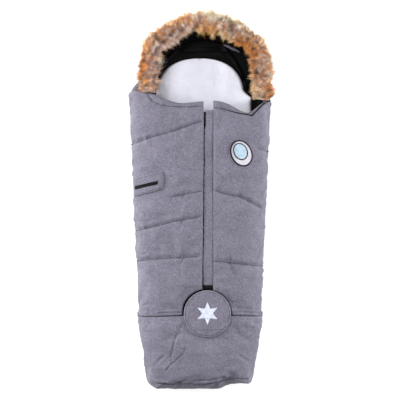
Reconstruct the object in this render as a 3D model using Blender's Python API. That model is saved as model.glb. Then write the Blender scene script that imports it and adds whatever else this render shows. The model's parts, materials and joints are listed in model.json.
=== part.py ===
"""A padded stroller footmuff lying on its back: hood towards +Y, toes towards -Y, +Z out of the front.

The bag is a tray-shaped back with three padded front panels over it. Each padded panel is built as it
is sewn: an outer shell turned round the edges, wadding inside it, and a lining on the inner side. The
two front panels open like doors at the side seams, the foot panel folds down at the toe seam, and the
hood lifts about the line through its front corners.
"""

import math

import bmesh
import bpy

# Driving dimensions of the bag, in metres
NECK_Y = 0.298
CROSS_Y = -0.320
TOE_Y = -0.536
HEAD_Y = 0.470
SHOULDER_HALF_WIDTH = 0.202
KNEE_HALF_WIDTH = 0.1745
FOOT_HALF_WIDTH = 0.180
TOE_HALF_WIDTH = 0.147
HEAD_HALF_WIDTH = 0.176
SEAM_HEIGHT = 0.045
HEAD_SEAM_HEIGHT = 0.0246
CROWN_HEIGHT = 0.116

# Layers of the padded panels
FABRIC = 0.0025
LAYER_GAP = 0.0003
WADDING_GAP = 0.0032
FRONT_WADDING_SLACK = 0.0080
FOOT_WADDING_SLACK = 0.0052
FRONT_WADDING_SEAT = 0.0004
PATCH_GAP = 0.0008
SEAM_GAP = 0.0004
LINING = 0.002
FRONT_THICKNESS = 0.029
BACK_THICKNESS = 0.024
FLEECE = 0.011

# How square the cross-sections and the head end are
ARCH_SQUARENESS = 2.9
TRAY_SQUARENESS = 7.0
HEAD_SQUARENESS = 2.3
FLAT_BOTTOM_SHARE = 1.06

# Shares that place the grid's rows and columns
EDGE_ITERATIONS = 5
COLUMN_CROWDING = 1.4
END_ROWS_SHARE = 0.60
FOOT_END_ROWS_SHARE = 0.50
TRAY_FOOT_ROWS = 8
TRAY_BODY_ROWS = 8
TRAY_HEAD_ROWS = 10

# Outline details
TOE_CORNER = 0.034
SEAM_STEP = 0.012
SHOULDER_DROP_SHARE = 0.35
HEAD_END_SHARE = 0.04
HEAD_CURVE_DOWN = 0.014
TOE_CURVE_UP = 0.060
TOE_CURVE_DOWN = 0.030

# The front edges and the gutters that hold the zips
LEFT_EDGE_X = 0.0060
RIGHT_EDGE_X = 0.0375
ZIP_X = 0.0130
CROSS_GUTTER = 0.012

# The neck edge's heights and dips
NECK_CENTRE_Y = 0.281
NECK_SIDE_LEFT_Y = 0.312
NECK_SIDE_RIGHT_Y = 0.291
NECK_DIP_LEFT = 0.0175
NECK_DIP_RIGHT = 0.041
DIP_SHARE_LEFT = 0.38
DIP_SHARE_RIGHT = 0.63
DIP_INNER_SHARE = 0.27
DIP_OUTER_LEFT_SHARE = 0.26
DIP_OUTER_RIGHT_SHARE = 0.155

# Quilting seams: the height of each at the side and how far it climbs towards the zip
CHANNEL_DEPTH = 0.008
CHANNEL_WIDTH = 0.017
LEFT_CHANNEL_Y = (0.151, -0.003, -0.0855, -0.177)
LEFT_CHANNEL_CLIMB = (0.062, 0.030, 0.040, 0.014)
RIGHT_CHANNEL_Y = (0.140, -0.026, -0.188)
RIGHT_CHANNEL_CLIMB = (0.055, 0.051, 0.018)
SHORT_CHANNEL_SHARE = 0.50
SHORT_CHANNEL_FADE_SHARE = 0.08

# The round cover over the lower end of the zip
COVER_X = 0.021
COVER_Y = -0.322
COVER_RADIUS = 0.067
COVER_CLEARANCE = 0.008
COVER_THICKNESS = 0.005
COVER_FOLD_DROP = 0.045
COVER_SEAT_GAP = 0.0005
EMBLEM_RADIUS = 0.033
EMBLEM_WAIST_SHARE = 0.45
EMBLEM_POINTS = 6
EMBLEM_THICKNESS = 0.0008
EMBLEM_DROP = 0.002

# The centre zip
TAPE_THICKNESS = 0.0008
ZIP_DEPTH = 0.0165
ZIP_TOP_Y = 0.236
ZIP_BOTTOM_Y = -0.241
TOOTH_PITCH = 0.012
TOOTH_WIDTH = 0.0050
TOOTH_HEIGHT = 0.0024
TOOTH_TIP = 0.0008
SPINE_INNER = 0.0022
SPINE_OUTER = 0.0034
STOP_LENGTH = 0.007
PLACKET_TOP_Y = 0.254
PLACKET_START = 0.0048
PLACKET_THICKNESS = 0.003
PLACKET_DEPTH = 0.0025

# The sliders and their pulls
SLIDER_LENGTH = 0.012
SLIDER_HALF_WIDTH = 0.0043
SLIDER_MOUTH = 0.0032
SLIDER_PLATE = 0.0012
SLIDER_POST = 0.0010
SLIDER_POST_LENGTH = 0.004
SLIDER_PARK = 0.0072
LUG_HALF_WIDTH = 0.0010
LUG_LENGTH = 0.0036
LUG_HEIGHT = 0.0044
PIN_RADIUS = 0.0006
PIN_CLEARANCE = 0.0003
PIN_SIDES = 12
PULL_ARM = 0.0012
PULL_ARM_GAP = 0.0003
PULL_THICKNESS = 0.0022
PULL_LENGTH = 0.026
FOOT_PULL_LENGTH = 0.018
PULL_EYE_END = 0.0016

# The foot zips
FOOT_ZIP_DEPTH = 0.024
FOOT_ZIP_REACH = 0.112
FOOT_ZIP_START = 0.0155
FOOT_SLIDER_PARK = 0.0070

# The pocket on the left panel
POCKET_LEFT_X = -0.1855
POCKET_RIGHT_X = -0.101
POCKET_TOP_Y = 0.062
POCKET_CLIMB = 0.020
POCKET_HEIGHT = 0.052
POCKET_CORNER = 0.016
POCKET_LIFT = 0.0006
POCKET_FLAP = 0.0025
WELT_HEIGHT = 0.012
WELT_THICKNESS = 0.0008
WELT_INSET = 0.008
LABEL_INSET = 0.006
LABEL_END = 0.015
LABEL_DROP = 0.024
LABEL_HEIGHT = 0.010
LABEL_THICKNESS = 0.0012
POCKET_HINGE_LIFT = 0.0065

# The oval badge on the right panel
BADGE_X = 0.117
BADGE_Y = 0.132
BADGE_HALF_WIDTH = 0.030
BADGE_HALF_LENGTH = 0.038
BADGE_TILT = math.radians(22.0)
BADGE_BACKING = 0.0016
BADGE_FACE = 0.0010
BADGE_FACE_SHARE = 0.62
BADGE_FACE_UP = 0.009
BADGE_SEAT = 0.0008

# The fleece liner
FLEECE_NECK_HALF = 0.126
FLEECE_FOOT_HALF = 0.110
FLEECE_TOP_Y = 0.405
FLEECE_ROUND_Y = 0.290
FLEECE_FOOT_Y = -0.470

# The harness slots: centre x, centre y, half-length along x, half-length along y
SLOT_HALF_LONG = 0.030
SLOT_HALF_SHORT = 0.0100
BINDING_WALL = 0.0015
BINDING_SINK = 0.0006
SHOULDER_SLOT = (0.062, 0.185)
HIP_SLOT = (0.086, -0.115)
CROTCH_SLOT_Y = -0.165

# The hood: a band that stands on the back round the head, and the fur on its rim
HOOD_FRONT_LEFT_Y = 0.318
HOOD_FRONT_RIGHT_Y = 0.296
HOOD_BEND_Y = 0.340
HOOD_X = 0.0155
HOOD_LOW_HALF = 0.138
HOOD_LOW_RISE = 0.112
HOOD_RIM_HALF = 0.1525
HOOD_RIM_RISE = 0.160
HOOD_RIM_HEIGHT = 0.057
HOOD_SEAT_GAP = 0.0008
HOOD_WADDING = 0.010
HOOD_LEG_SHARE = 0.14
RIM_TAPE = 0.002
FUR_RADIUS = 0.030
FUR_HALF_HEIGHT = 0.027
FUR_OUT = 0.002
FUR_END_ROUND = 0.024
HOOD_HINGE_Y = 0.288
HOOD_HINGE_Z = 0.112


def clear_scene():
    for thing in list(bpy.data.objects):
        bpy.data.objects.remove(thing, do_unlink=True)


# Finishes


def finish(name, colour, roughness, metallic=0.0):
    made = bpy.data.materials.get(name)
    if made:
        return made
    made = bpy.data.materials.new(name)
    made.use_nodes = True
    shader = made.node_tree.nodes["Principled BSDF"]
    shader.inputs["Base Color"].default_value = (*colour, 1.0)
    shader.inputs["Roughness"].default_value = roughness
    shader.inputs["Metallic"].default_value = metallic
    return made


def melange():
    return finish("grey_melange", (0.24, 0.23, 0.26), 0.85)


def black_cloth():
    return finish("black_lining", (0.012, 0.012, 0.018), 0.6)


def white_fleece():
    return finish("white_fleece", (0.82, 0.83, 0.88), 0.95)


def wadding():
    return finish("wadding", (0.75, 0.75, 0.73), 1.0)


def fur():
    return finish("fur", (0.45, 0.24, 0.11), 0.9)


def zip_tape():
    return finish("zip_tape", (0.05, 0.05, 0.06), 0.8)


def zip_plastic():
    return finish("zip_plastic", (0.03, 0.03, 0.035), 0.4)


def dark_metal():
    return finish("dark_metal", (0.10, 0.10, 0.11), 0.35, 0.9)


def reflective():
    return finish("reflective_print", (0.72, 0.76, 0.84), 0.4)


def rubber():
    return finish("black_rubber", (0.01, 0.01, 0.01), 0.5)


def patch_grey():
    return finish("patch_grey", (0.55, 0.53, 0.56), 0.8)


def patch_blue():
    return finish("patch_blue", (0.45, 0.62, 0.75), 0.7)


# Meshes from grids of points


def object_from(name, points, faces, coat):
    mesh = bpy.data.meshes.new(name)
    mesh.from_pydata(points, [], faces)
    mesh.materials.append(coat)
    shape = bmesh.new()
    shape.from_mesh(mesh)
    bmesh.ops.recalc_face_normals(shape, faces=shape.faces)
    if shape.calc_volume(signed=True) < 0:
        bmesh.ops.reverse_faces(shape, faces=shape.faces)
    shape.to_mesh(mesh)
    shape.free()
    made = bpy.data.objects.new(name, mesh)
    bpy.context.scene.collection.objects.link(made)
    return made


def border(columns, rows):
    """The (column, row) pairs round the edge of a grid, in order, each once."""
    low = [(i, 0) for i in range(columns)]
    right = [(columns - 1, j) for j in range(1, rows)]
    high = [(i, rows - 1) for i in range(columns - 2, -1, -1)]
    left = [(0, j) for j in range(rows - 2, 0, -1)]
    return low + right + high + left


def two_sheets(place, columns, rows, sheets):
    """The points and faces of two grids of the same size, one for each (depth, inset) in sheets."""
    points, faces = [], []
    for depth, inset in sheets:
        for j in range(rows):
            for i in range(columns):
                points.append(place(i / (columns - 1), j / (rows - 1), depth, inset))
    size = columns * rows
    for j in range(rows - 1):
        for i in range(columns - 1):
            a = j * columns + i
            faces.append((a, a + 1, a + 1 + columns, a + columns))
            faces.append((size + a, size + a + columns, size + a + 1 + columns, size + a + 1))
    return points, faces


def slab(name, place, columns, rows, outer, inner, inset, coat):
    """A closed layer between two depths, its edges drawn in by inset."""
    points, faces = two_sheets(place, columns, rows, ((outer, inset), (inner, inset)))
    size = columns * rows
    ring = [j * columns + i for i, j in border(columns, rows)]
    for a, b in zip(ring, ring[1:] + ring[:1]):
        faces.append((b, a, size + a, size + b))
    return object_from(name, points, faces, coat)


def cover(name, place, columns, rows, depth, coat):
    """A fabric shell turned round all four edges, open on its inner side."""
    points, faces = two_sheets(place, columns, rows, ((0.0, 0.0), (FABRIC, FABRIC)))
    size = columns * rows
    around = border(columns, rows)
    ring = [j * columns + i for i, j in around]
    outer_rim = range(len(points), len(points) + len(around))
    inner_rim = range(outer_rim.stop, outer_rim.stop + len(around))
    for inset in (0.0, FABRIC):
        points += [place(i / (columns - 1), j / (rows - 1), depth, inset) for i, j in around]
    for k in range(len(around)):
        n = (k + 1) % len(around)
        faces.append((ring[n], ring[k], outer_rim[k], outer_rim[n]))
        faces.append((outer_rim[n], outer_rim[k], inner_rim[k], inner_rim[n]))
        faces.append((inner_rim[n], inner_rim[k], size + ring[k], size + ring[n]))
    return object_from(name, points, faces, coat)


def block(name, low, high, coat):
    """A box between two corners."""
    points = [(x, y, z) for x in (low[0], high[0]) for y in (low[1], high[1]) for z in (low[2], high[2])]
    faces = [(0, 1, 3, 2), (4, 6, 7, 5), (0, 4, 5, 1), (2, 3, 7, 6), (0, 2, 6, 4), (1, 5, 7, 3)]
    return object_from(name, points, faces, coat)


def prism(name, outline, low, high, coat):
    """An outline in the XY plane, carried from one height to another."""
    count = len(outline)
    points = [(x, y, low) for x, y in outline] + [(x, y, high) for x, y in outline]
    faces = [tuple(reversed(range(count))), tuple(range(count, 2 * count))]
    faces += [(k, (k + 1) % count, count + (k + 1) % count, count + k) for k in range(count)]
    return object_from(name, points, faces, coat)


def empty(name, place):
    made = bpy.data.objects.new(name, None)
    bpy.context.scene.collection.objects.link(made)
    made.location = place
    return made


def change(made, operation, tool):
    modifier = made.modifiers.new(operation.lower(), "BOOLEAN")
    modifier.operation = operation
    modifier.solver = "EXACT"
    modifier.object = tool
    tool.hide_render = True
    tool.display_type = "WIRE"


def mix(a, b, share):
    return a + (b - a) * share


def smooth(low, high, value):
    share = min(1.0, max(0.0, (value - low) / (high - low)))
    return share * share * (3.0 - 2.0 * share)


def signed_power(value, power):
    return math.copysign(abs(value) ** power, value)


def bow(share, squareness):
    """The height of a squared arc, from 1 at share 0 to 0 at share 1."""
    return max(0.0, 1.0 - min(1.0, abs(share)) ** squareness) ** (1.0 / squareness)


# The bag's outline


def side_seam(y):
    """Half the width on the straight side seam between the cross seam and the neck."""
    return mix(KNEE_HALF_WIDTH, SHOULDER_HALF_WIDTH, (y - CROSS_Y) / (NECK_Y - CROSS_Y))


def foot_seam(y):
    """Half the width of the foot end, drawn in at the rounded toe corners."""
    straight = mix(TOE_HALF_WIDTH, FOOT_HALF_WIDTH, (y - TOE_Y) / (CROSS_Y - TOE_Y))
    return straight - TOE_CORNER * (1.0 - bow(max(0.0, 1.0 - (y - TOE_Y) / TOE_CORNER), 2.0))


def head_row(share, depth, inset):
    """One row of the rounded end behind the head: its y, half-width and flatness."""
    end = HEAD_Y - depth
    drop = HEAD_SEAM_HEIGHT * FLAT_BOTTOM_SHARE - depth
    last = end - HEAD_CURVE_DOWN * (1.0 - math.cos(math.asin(min(1.0, inset / drop))))
    y = mix(NECK_Y, last, math.sin(share * math.pi / 2) ** (2.0 / HEAD_SQUARENESS))
    up = (y - NECK_Y) / (end - NECK_Y)
    side = mix(SHOULDER_HALF_WIDTH, HEAD_HALF_WIDTH, smooth(0.0, SHOULDER_DROP_SHARE, up)) - depth
    half = side * max(HEAD_END_SHARE, 1.0 - up**HEAD_SQUARENESS) ** (1.0 / HEAD_SQUARENESS)
    return y, half, bow(max(0.0, 1.0 - (end - y) / HEAD_CURVE_DOWN), 2.0)


# The padded back: a tray whose sides and toe end rise to the seam


def end_curve(v, end_share, start_y, end_y, curve, rise_inset, height):
    """Rows along the bag: the first ones round up to the toe seam, the rest run straight.

    Gives the row's y and how far the end has flattened out there, from 0 at the seam to 1.
    """
    start = math.asin(min(1.0, rise_inset / height))
    if v < end_share:
        angle = mix(start, math.pi / 2, v / end_share)
        return start_y + curve * (1.0 - math.cos(angle)), math.sin(angle)
    return mix(start_y + curve, end_y, (v - end_share) / (1.0 - end_share)), 1.0


def tray_place(u, v, depth, inset):
    """The tray's rows run from the toe seam to the cross gutter, from there to the neck, and round the head."""
    row = round(v * (TRAY_FOOT_ROWS + TRAY_BODY_ROWS + TRAY_HEAD_ROWS - 1))
    seam, flat = SEAM_HEIGHT, 1.0
    if row < TRAY_FOOT_ROWS:
        toe_height = seam * FLAT_BOTTOM_SHARE - depth
        low_end, high_end = TOE_Y + depth, CROSS_Y - CROSS_GUTTER / 2
        up = row / (TRAY_FOOT_ROWS - 1)
        y, flat = end_curve(up, END_ROWS_SHARE, low_end, high_end, TOE_CURVE_DOWN, inset, toe_height)
        half = foot_seam(y) - depth
    elif row < TRAY_FOOT_ROWS + TRAY_BODY_ROWS:
        up = (row - TRAY_FOOT_ROWS) / (TRAY_BODY_ROWS - 1)
        y = mix(CROSS_Y + CROSS_GUTTER / 2, NECK_Y - SEAM_STEP, up)
        half = side_seam(y) - depth
    else:
        seam = HEAD_SEAM_HEIGHT
        up = (row - TRAY_FOOT_ROWS - TRAY_BODY_ROWS) / (TRAY_HEAD_ROWS - 1)
        y, half, flat = head_row(up, depth, inset)
    drop = seam * FLAT_BOTTOM_SHARE - depth
    start = math.asin(min(1.0, inset / drop) ** (TRAY_SQUARENESS / 2.0))
    angle = mix(start, math.pi - start, u)
    x = -half * signed_power(math.cos(angle), 2.0 / TRAY_SQUARENESS)
    side = abs(math.sin(angle)) ** (2.0 / TRAY_SQUARENESS)
    z = max(depth, seam - drop * min(side, flat))
    return x, y, z


# The padded front


def arch(angle, half, crown):
    """A point of the front's cross-section, from the left seam at 0 to the right seam at pi."""
    x = -half * signed_power(math.cos(angle), 2.0 / ARCH_SQUARENESS)
    rise = abs(math.sin(angle)) ** (2.0 / ARCH_SQUARENESS)
    return x, SEAM_HEIGHT + SEAM_GAP + (crown - SEAM_HEIGHT) * rise


def angle_at_rise(rise, crown):
    share = min(1.0, rise / (crown - SEAM_HEIGHT))
    return math.asin(share ** (ARCH_SQUARENESS / 2.0))


def angle_at_x(x, half):
    share = max(-1.0, min(1.0, -x / half))
    return math.acos(signed_power(share, ARCH_SQUARENESS / 2.0))


def channel_sink(side, x, y):
    """How far the quilting seams pull the surface of the left (-1) or right (1) panel in.

    The seam beside the pocket stops at it, and the one beside the badge is only sewn near the side.
    """
    across = min(1.0, abs(x - ZIP_X) / SHOULDER_HALF_WIDTH)
    sides, climbs = RIGHT_CHANNEL_Y, RIGHT_CHANNEL_CLIMB
    if side < 0:
        sides, climbs = LEFT_CHANNEL_Y, LEFT_CHANNEL_CLIMB
    near, far = SHORT_CHANNEL_SHARE - SHORT_CHANNEL_FADE_SHARE, SHORT_CHANNEL_SHARE
    sink = 0.0
    for number, (side_y, climb) in enumerate(zip(sides, climbs)):
        away = (y - side_y - climb * (1.0 - across)) / CHANNEL_WIDTH
        strength = math.exp(-away * away)
        if side < 0 and number == 1:
            strength *= 1.0 - smooth(near, far, across)
        if side > 0 and number == 0:
            strength *= smooth(1.0 - far, 1.0 - near, across) ** 2 * smooth(far, 1.0 - near / 2, across)
        sink = max(sink, strength)
    return CHANNEL_DEPTH * sink


def neck_edge(x):
    """The front panels' top edge, which dips between the zip and each shoulder."""
    share = min(1.0, abs(x - ZIP_X) / SHOULDER_HALF_WIDTH)
    side_y, dip, centre, outer = NECK_SIDE_RIGHT_Y, NECK_DIP_RIGHT, DIP_SHARE_RIGHT, DIP_OUTER_RIGHT_SHARE
    if x < ZIP_X:
        side_y, dip, centre, outer = NECK_SIDE_LEFT_Y, NECK_DIP_LEFT, DIP_SHARE_LEFT, DIP_OUTER_LEFT_SHARE
    away = (share - centre) / (outer if share > centre else DIP_INNER_SHARE)
    return mix(NECK_CENTRE_Y, side_y, share) - dip * math.exp(-away * away)


def knee_edge(x, inset, bitten):
    """The front panels' lower edge, with the round bite that the cover fills."""
    straight = CROSS_Y + CROSS_GUTTER / 2 + inset
    radius = COVER_RADIUS + COVER_CLEARANCE + inset
    away = x - COVER_X
    if not bitten or abs(away) >= radius:
        return straight
    return max(straight, COVER_Y + math.sqrt(radius**2 - away**2))


def crowd(u):
    """Spaces the columns evenly round the arch, whose own angle runs slowly at both ends."""
    low, high = u**COLUMN_CROWDING, (1.0 - u) ** COLUMN_CROWDING
    return low / (low + high)


def front_place(edge_x, side, bitten=True):
    """The place function of the left (side -1) or right (side 1) front panel."""

    def place(u, v, depth, inset):
        x, y, z = edge_x, mix(CROSS_Y, NECK_Y, v), CROWN_HEIGHT
        for _ in range(EDGE_ITERATIONS):
            sink = channel_sink(side, x, y) * max(0.0, 1.0 - depth / FRONT_THICKNESS)
            half, crown = side_seam(y) - depth, CROWN_HEIGHT - depth - sink
            seam = angle_at_rise(inset, crown)
            start = seam if side < 0 else math.pi - seam
            edge = angle_at_x(edge_x + side * inset, half)
            x, z = arch(mix(start, edge, crowd(u)), half, crown)
            y = mix(knee_edge(x, inset, bitten), neck_edge(x) - inset, v)
        return x, y, z

    return place


def foot_place(u, v, depth, inset):
    height = CROWN_HEIGHT - SEAM_HEIGHT - depth
    top = CROSS_Y - CROSS_GUTTER / 2 - inset
    y, flat = end_curve(v, FOOT_END_ROWS_SHARE, TOE_Y + depth, top, TOE_CURVE_UP, inset, height)
    crown = SEAM_HEIGHT + height
    start = angle_at_rise(inset, crown)
    half = foot_seam(y) - depth
    x, z = arch(mix(start, math.pi - start, u), half, crown)
    return x, y, min(z, SEAM_HEIGHT + SEAM_GAP + height * flat)


def padded_front(name, place, lining_place, columns, rows, slack, seat):
    """The shell, the wadding and the lining of one front panel.

    The wadding keeps slack from the shell and seat from the lining's side of the panel.
    """
    cover(f"{name}_shell", place, columns, rows, FRONT_THICKNESS, melange())
    inset = FABRIC + slack
    core = (inset, FRONT_THICKNESS - seat)
    slab(f"{name}_wadding", place, columns, rows, *core, inset, wadding())
    under = (FRONT_THICKNESS + LAYER_GAP, FRONT_THICKNESS + LAYER_GAP + LINING)
    slab(f"{name}_lining", lining_place, columns, rows, *under, 0.0, black_cloth())


# The back's slots for the stroller's harness


def slot_list():
    """Each slot's name, centre and half-lengths along x and y."""
    long, short = SLOT_HALF_LONG, SLOT_HALF_SHORT
    slots = [("crotch", (0.0, CROTCH_SLOT_Y), (long, short))]
    for side, sign in (("left", -1), ("right", 1)):
        slots.append((f"shoulder_{side}", (sign * SHOULDER_SLOT[0], SHOULDER_SLOT[1]), (long, short)))
        slots.append((f"hip_{side}", (sign * HIP_SLOT[0], HIP_SLOT[1]), (short, long)))
    return slots


def slot_cutters():
    """One box for each slot, larger than its binding by the layer gap and running past both faces."""
    cutters = []
    for name, centre, half in slot_list():
        reach = [h + BINDING_WALL + LAYER_GAP for h in half]
        low = (centre[0] - reach[0], centre[1] - reach[1], -FLEECE)
        high = (centre[0] + reach[0], centre[1] + reach[1], BACK_THICKNESS + 2 * FLEECE)
        cutters.append(block(f"cut_{name}", low, high, wadding()))
    return cutters


def slot_bindings():
    top = BACK_THICKNESS + LAYER_GAP + FLEECE - BINDING_SINK
    for name, centre, half in slot_list():
        outer = [h + BINDING_WALL for h in half]
        low = (centre[0] - outer[0], centre[1] - outer[1], BINDING_SINK)
        high = (centre[0] + outer[0], centre[1] + outer[1], top)
        ring = block(f"slot_binding_{name}", low, high, black_cloth())
        low = (centre[0] - half[0], centre[1] - half[1], -FLEECE)
        high = (centre[0] + half[0], centre[1] + half[1], top + FLEECE)
        change(ring, "DIFFERENCE", block(f"cut_binding_{name}", low, high, black_cloth()))


def fleece_place(u, v, depth, inset):
    """The loose fleece liner, measured up from the back's lining; its top end is round."""
    y = mix(FLEECE_FOOT_Y, FLEECE_TOP_Y, v)
    width = mix(FLEECE_FOOT_HALF, FLEECE_NECK_HALF, smooth(FLEECE_FOOT_Y, FLEECE_ROUND_Y, y))
    up = max(0.0, (y - FLEECE_ROUND_Y) / (FLEECE_TOP_Y - FLEECE_ROUND_Y))
    half = width * max(HEAD_END_SHARE, 1.0 - up**2) ** (1.0 / 2.0)
    return mix(-half, half, u), y, BACK_THICKNESS + LAYER_GAP + depth


def padded_back():
    columns, rows = 13, TRAY_FOOT_ROWS + TRAY_BODY_ROWS + TRAY_HEAD_ROWS
    rim = BACK_THICKNESS - LINING - PATCH_GAP
    shell = cover("back_shell", tray_place, columns, rows, rim, melange())
    inset = FABRIC + WADDING_GAP
    core_end = BACK_THICKNESS - LINING - WADDING_GAP
    core = slab("back_wadding", tray_place, columns, rows, inset, core_end, inset, wadding())
    sheet = (BACK_THICKNESS - LINING, BACK_THICKNESS)
    lining = slab("back_lining", tray_place, columns, rows, *sheet, 0.0, black_cloth())
    fleece = slab("fleece_liner", fleece_place, 7, 17, 0.0, FLEECE, 0.0, white_fleece())
    for cutter in slot_cutters():
        for layer in (shell, core, lining, fleece):
            change(layer, "DIFFERENCE", cutter)
    slot_bindings()


# Zips


def comb(start, end):
    """The outline of one row of teeth: (distance along the zip, distance from its middle)."""
    outline = [(start, SPINE_OUTER)]
    outline.append((end, SPINE_OUTER))
    outline.append((end, SPINE_INNER))
    count = int((end - start - TOOTH_WIDTH) / TOOTH_PITCH)
    first = start + (end - start - count * TOOTH_PITCH) / 2
    for k in range(count, -1, -1):
        middle = first + k * TOOTH_PITCH
        for along, away in ((0.5, SPINE_INNER), (0.5, TOOTH_TIP), (-0.5, TOOTH_TIP), (-0.5, SPINE_INNER)):
            outline.append((middle + along * TOOTH_WIDTH, away))
    outline.append((start, SPINE_INNER))
    return outline


def centre_zip_height():
    return CROWN_HEIGHT - ZIP_DEPTH


def centre_zip():
    z = centre_zip_height()
    parked_end = ZIP_TOP_Y + LAYER_GAP + SLIDER_PARK + SLIDER_LENGTH / 2
    rows = (("left", -1, LEFT_EDGE_X, ZIP_TOP_Y), ("right", 1, RIGHT_EDGE_X, parked_end))
    for side, sign, edge_x, top_y in rows:
        outline = [(ZIP_X + sign * away, along) for along, away in comb(ZIP_BOTTOM_Y, top_y)]
        prism(f"{side}_zip_teeth", outline, z - TOOTH_HEIGHT / 2, z + TOOTH_HEIGHT / 2, zip_plastic())
        ends = sorted((edge_x - sign * LAYER_GAP, ZIP_X + sign * (SPINE_OUTER + LAYER_GAP)))
        low = (ends[0], ZIP_BOTTOM_Y, z - TAPE_THICKNESS / 2)
        high = (ends[1], top_y, z + TAPE_THICKNESS / 2)
        block(f"{side}_zip_tape", low, high, zip_tape())
    low = (ZIP_X + LAYER_GAP, ZIP_BOTTOM_Y - STOP_LENGTH, z - TOOTH_HEIGHT / 2)
    high = (RIGHT_EDGE_X - LAYER_GAP, ZIP_BOTTOM_Y - LAYER_GAP, z + TOOTH_HEIGHT / 2)
    block("zip_bottom_stop", low, high, zip_plastic())
    top = CROWN_HEIGHT - PLACKET_DEPTH
    low = (ZIP_X + PLACKET_START, ZIP_BOTTOM_Y, top - PLACKET_THICKNESS)
    high = (RIGHT_EDGE_X - LAYER_GAP, PLACKET_TOP_Y, top)
    block("zip_placket", low, high, melange())


def foot_zip_height():
    return CROWN_HEIGHT - FOOT_ZIP_DEPTH


def foot_zips():
    z = foot_zip_height()
    parked_end = FOOT_SLIDER_PARK - SLIDER_LENGTH / 2
    for side, sign in (("left", -1), ("right", 1)):
        for panel, way, start in ((f"{side}_knee", 1, FOOT_ZIP_START), (f"{side}_toe", -1, parked_end)):
            run = sorted((COVER_X + sign * start, sign * FOOT_ZIP_REACH))
            outline = [(along, CROSS_Y + way * away) for along, away in comb(*run)]
            prism(f"{panel}_zip_teeth", outline, z - TOOTH_HEIGHT / 2, z + TOOTH_HEIGHT / 2, zip_plastic())
            ends = sorted((way * (CROSS_GUTTER / 2 - LAYER_GAP), way * (SPINE_OUTER + LAYER_GAP)))
            low = (run[0], CROSS_Y + ends[0], z - TAPE_THICKNESS / 2)
            high = (run[1], CROSS_Y + ends[1], z + TAPE_THICKNESS / 2)
            block(f"{panel}_zip_tape", low, high, zip_tape())


def round_bar(name, radius, length):
    """A bar along X about the origin."""
    points = []
    for x in (-length / 2, length / 2):
        for k in range(PIN_SIDES):
            angle = 2 * math.pi * k / PIN_SIDES
            points.append((x, radius * math.cos(angle), radius * math.sin(angle)))
    faces = [tuple(range(PIN_SIDES)), tuple(reversed(range(PIN_SIDES, 2 * PIN_SIDES)))]
    for k in range(PIN_SIDES):
        n = (k + 1) % PIN_SIDES
        faces.append((k, PIN_SIDES + k, PIN_SIDES + n, n))
    return object_from(name, points, faces, dark_metal())


def pull_axis_height():
    """How far the pull's axis lies above the middle of the zip."""
    return SLIDER_MOUTH / 2 + SLIDER_PLATE + LUG_HEIGHT / 2


def slider(name):
    """A slider about the origin, with its zip along Y: two plates on a thin post, a lug and a pin."""
    half, mouth = SLIDER_HALF_WIDTH, SLIDER_MOUTH / 2
    end = SLIDER_LENGTH / 2
    plate_top = mouth + SLIDER_PLATE
    body = block(name, (-half, -end, mouth), (half, end, plate_top), dark_metal())
    post = SLIDER_POST / 2
    overlap = SLIDER_PLATE / 2
    tall = mouth + overlap
    parts = [
        block(f"{name}_sole", (-half, -end, -plate_top), (half, end, -mouth), dark_metal()),
        block(f"{name}_post", (-post, end - SLIDER_POST_LENGTH, -tall), (post, end, tall), dark_metal()),
        block(
            f"{name}_lug",
            (-LUG_HALF_WIDTH, -LUG_LENGTH / 2, plate_top - overlap),
            (LUG_HALF_WIDTH, LUG_LENGTH / 2, plate_top + LUG_HEIGHT),
            dark_metal(),
        ),
    ]
    pin = round_bar(f"{name}_pin", PIN_RADIUS, 2 * (LUG_HALF_WIDTH + PULL_ARM_GAP + PULL_ARM))
    pin.location.z = pull_axis_height()
    for part in (*parts, pin):
        part.parent = body
        change(body, "UNION", part)
    return body


def pull(name, along):
    """A pull about its own axis, which lies on the origin: two arms round the lug and a grip.

    It points along -Y for the centre zip, and its grip is as long as along says.
    """
    inner = LUG_HALF_WIDTH + PULL_ARM_GAP
    outer = inner + PULL_ARM
    thick = PULL_THICKNESS / 2
    inner_end = LUG_LENGTH / 2 + PULL_EYE_END
    body = block(name, (-outer, -along, -thick), (outer, PULL_EYE_END, thick), zip_plastic())
    low, high = (-inner, -inner_end, -2 * thick), (inner, 2 * PULL_EYE_END, 2 * thick)
    slot = block(f"cut_{name}_fork", low, high, zip_plastic())
    eye = round_bar(f"cut_{name}_eye", PIN_RADIUS + PIN_CLEARANCE, 2 * (outer + PULL_ARM))
    for tool in (slot, eye):
        tool.parent = body
        change(body, "DIFFERENCE", tool)
    return body


def place_slider(name, x, y, z, turn, pull_length):
    """Puts a slider and its pull on a zip, turned about Z so that the pull points along the closed teeth."""
    holder = empty(f"{name}_slider_place", (x, y, z))
    holder.rotation_euler = (0.0, 0.0, turn)
    body = slider(f"{name}_slider")
    body.parent = holder
    grip = pull(f"{name}_pull", pull_length)
    grip.parent = holder
    grip.location.z = pull_axis_height()


def sliders():
    top = ZIP_TOP_Y + SLIDER_PARK + LAYER_GAP
    place_slider("centre", ZIP_X, top, centre_zip_height(), 0.0, PULL_LENGTH)
    for side, sign in (("left_foot", -1), ("right_foot", 1)):
        x = COVER_X + sign * FOOT_SLIDER_PARK
        place_slider(side, x, CROSS_Y, foot_zip_height(), sign * math.pi / 2, FOOT_PULL_LENGTH)


# The round cover over the ends of the zips


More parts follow.
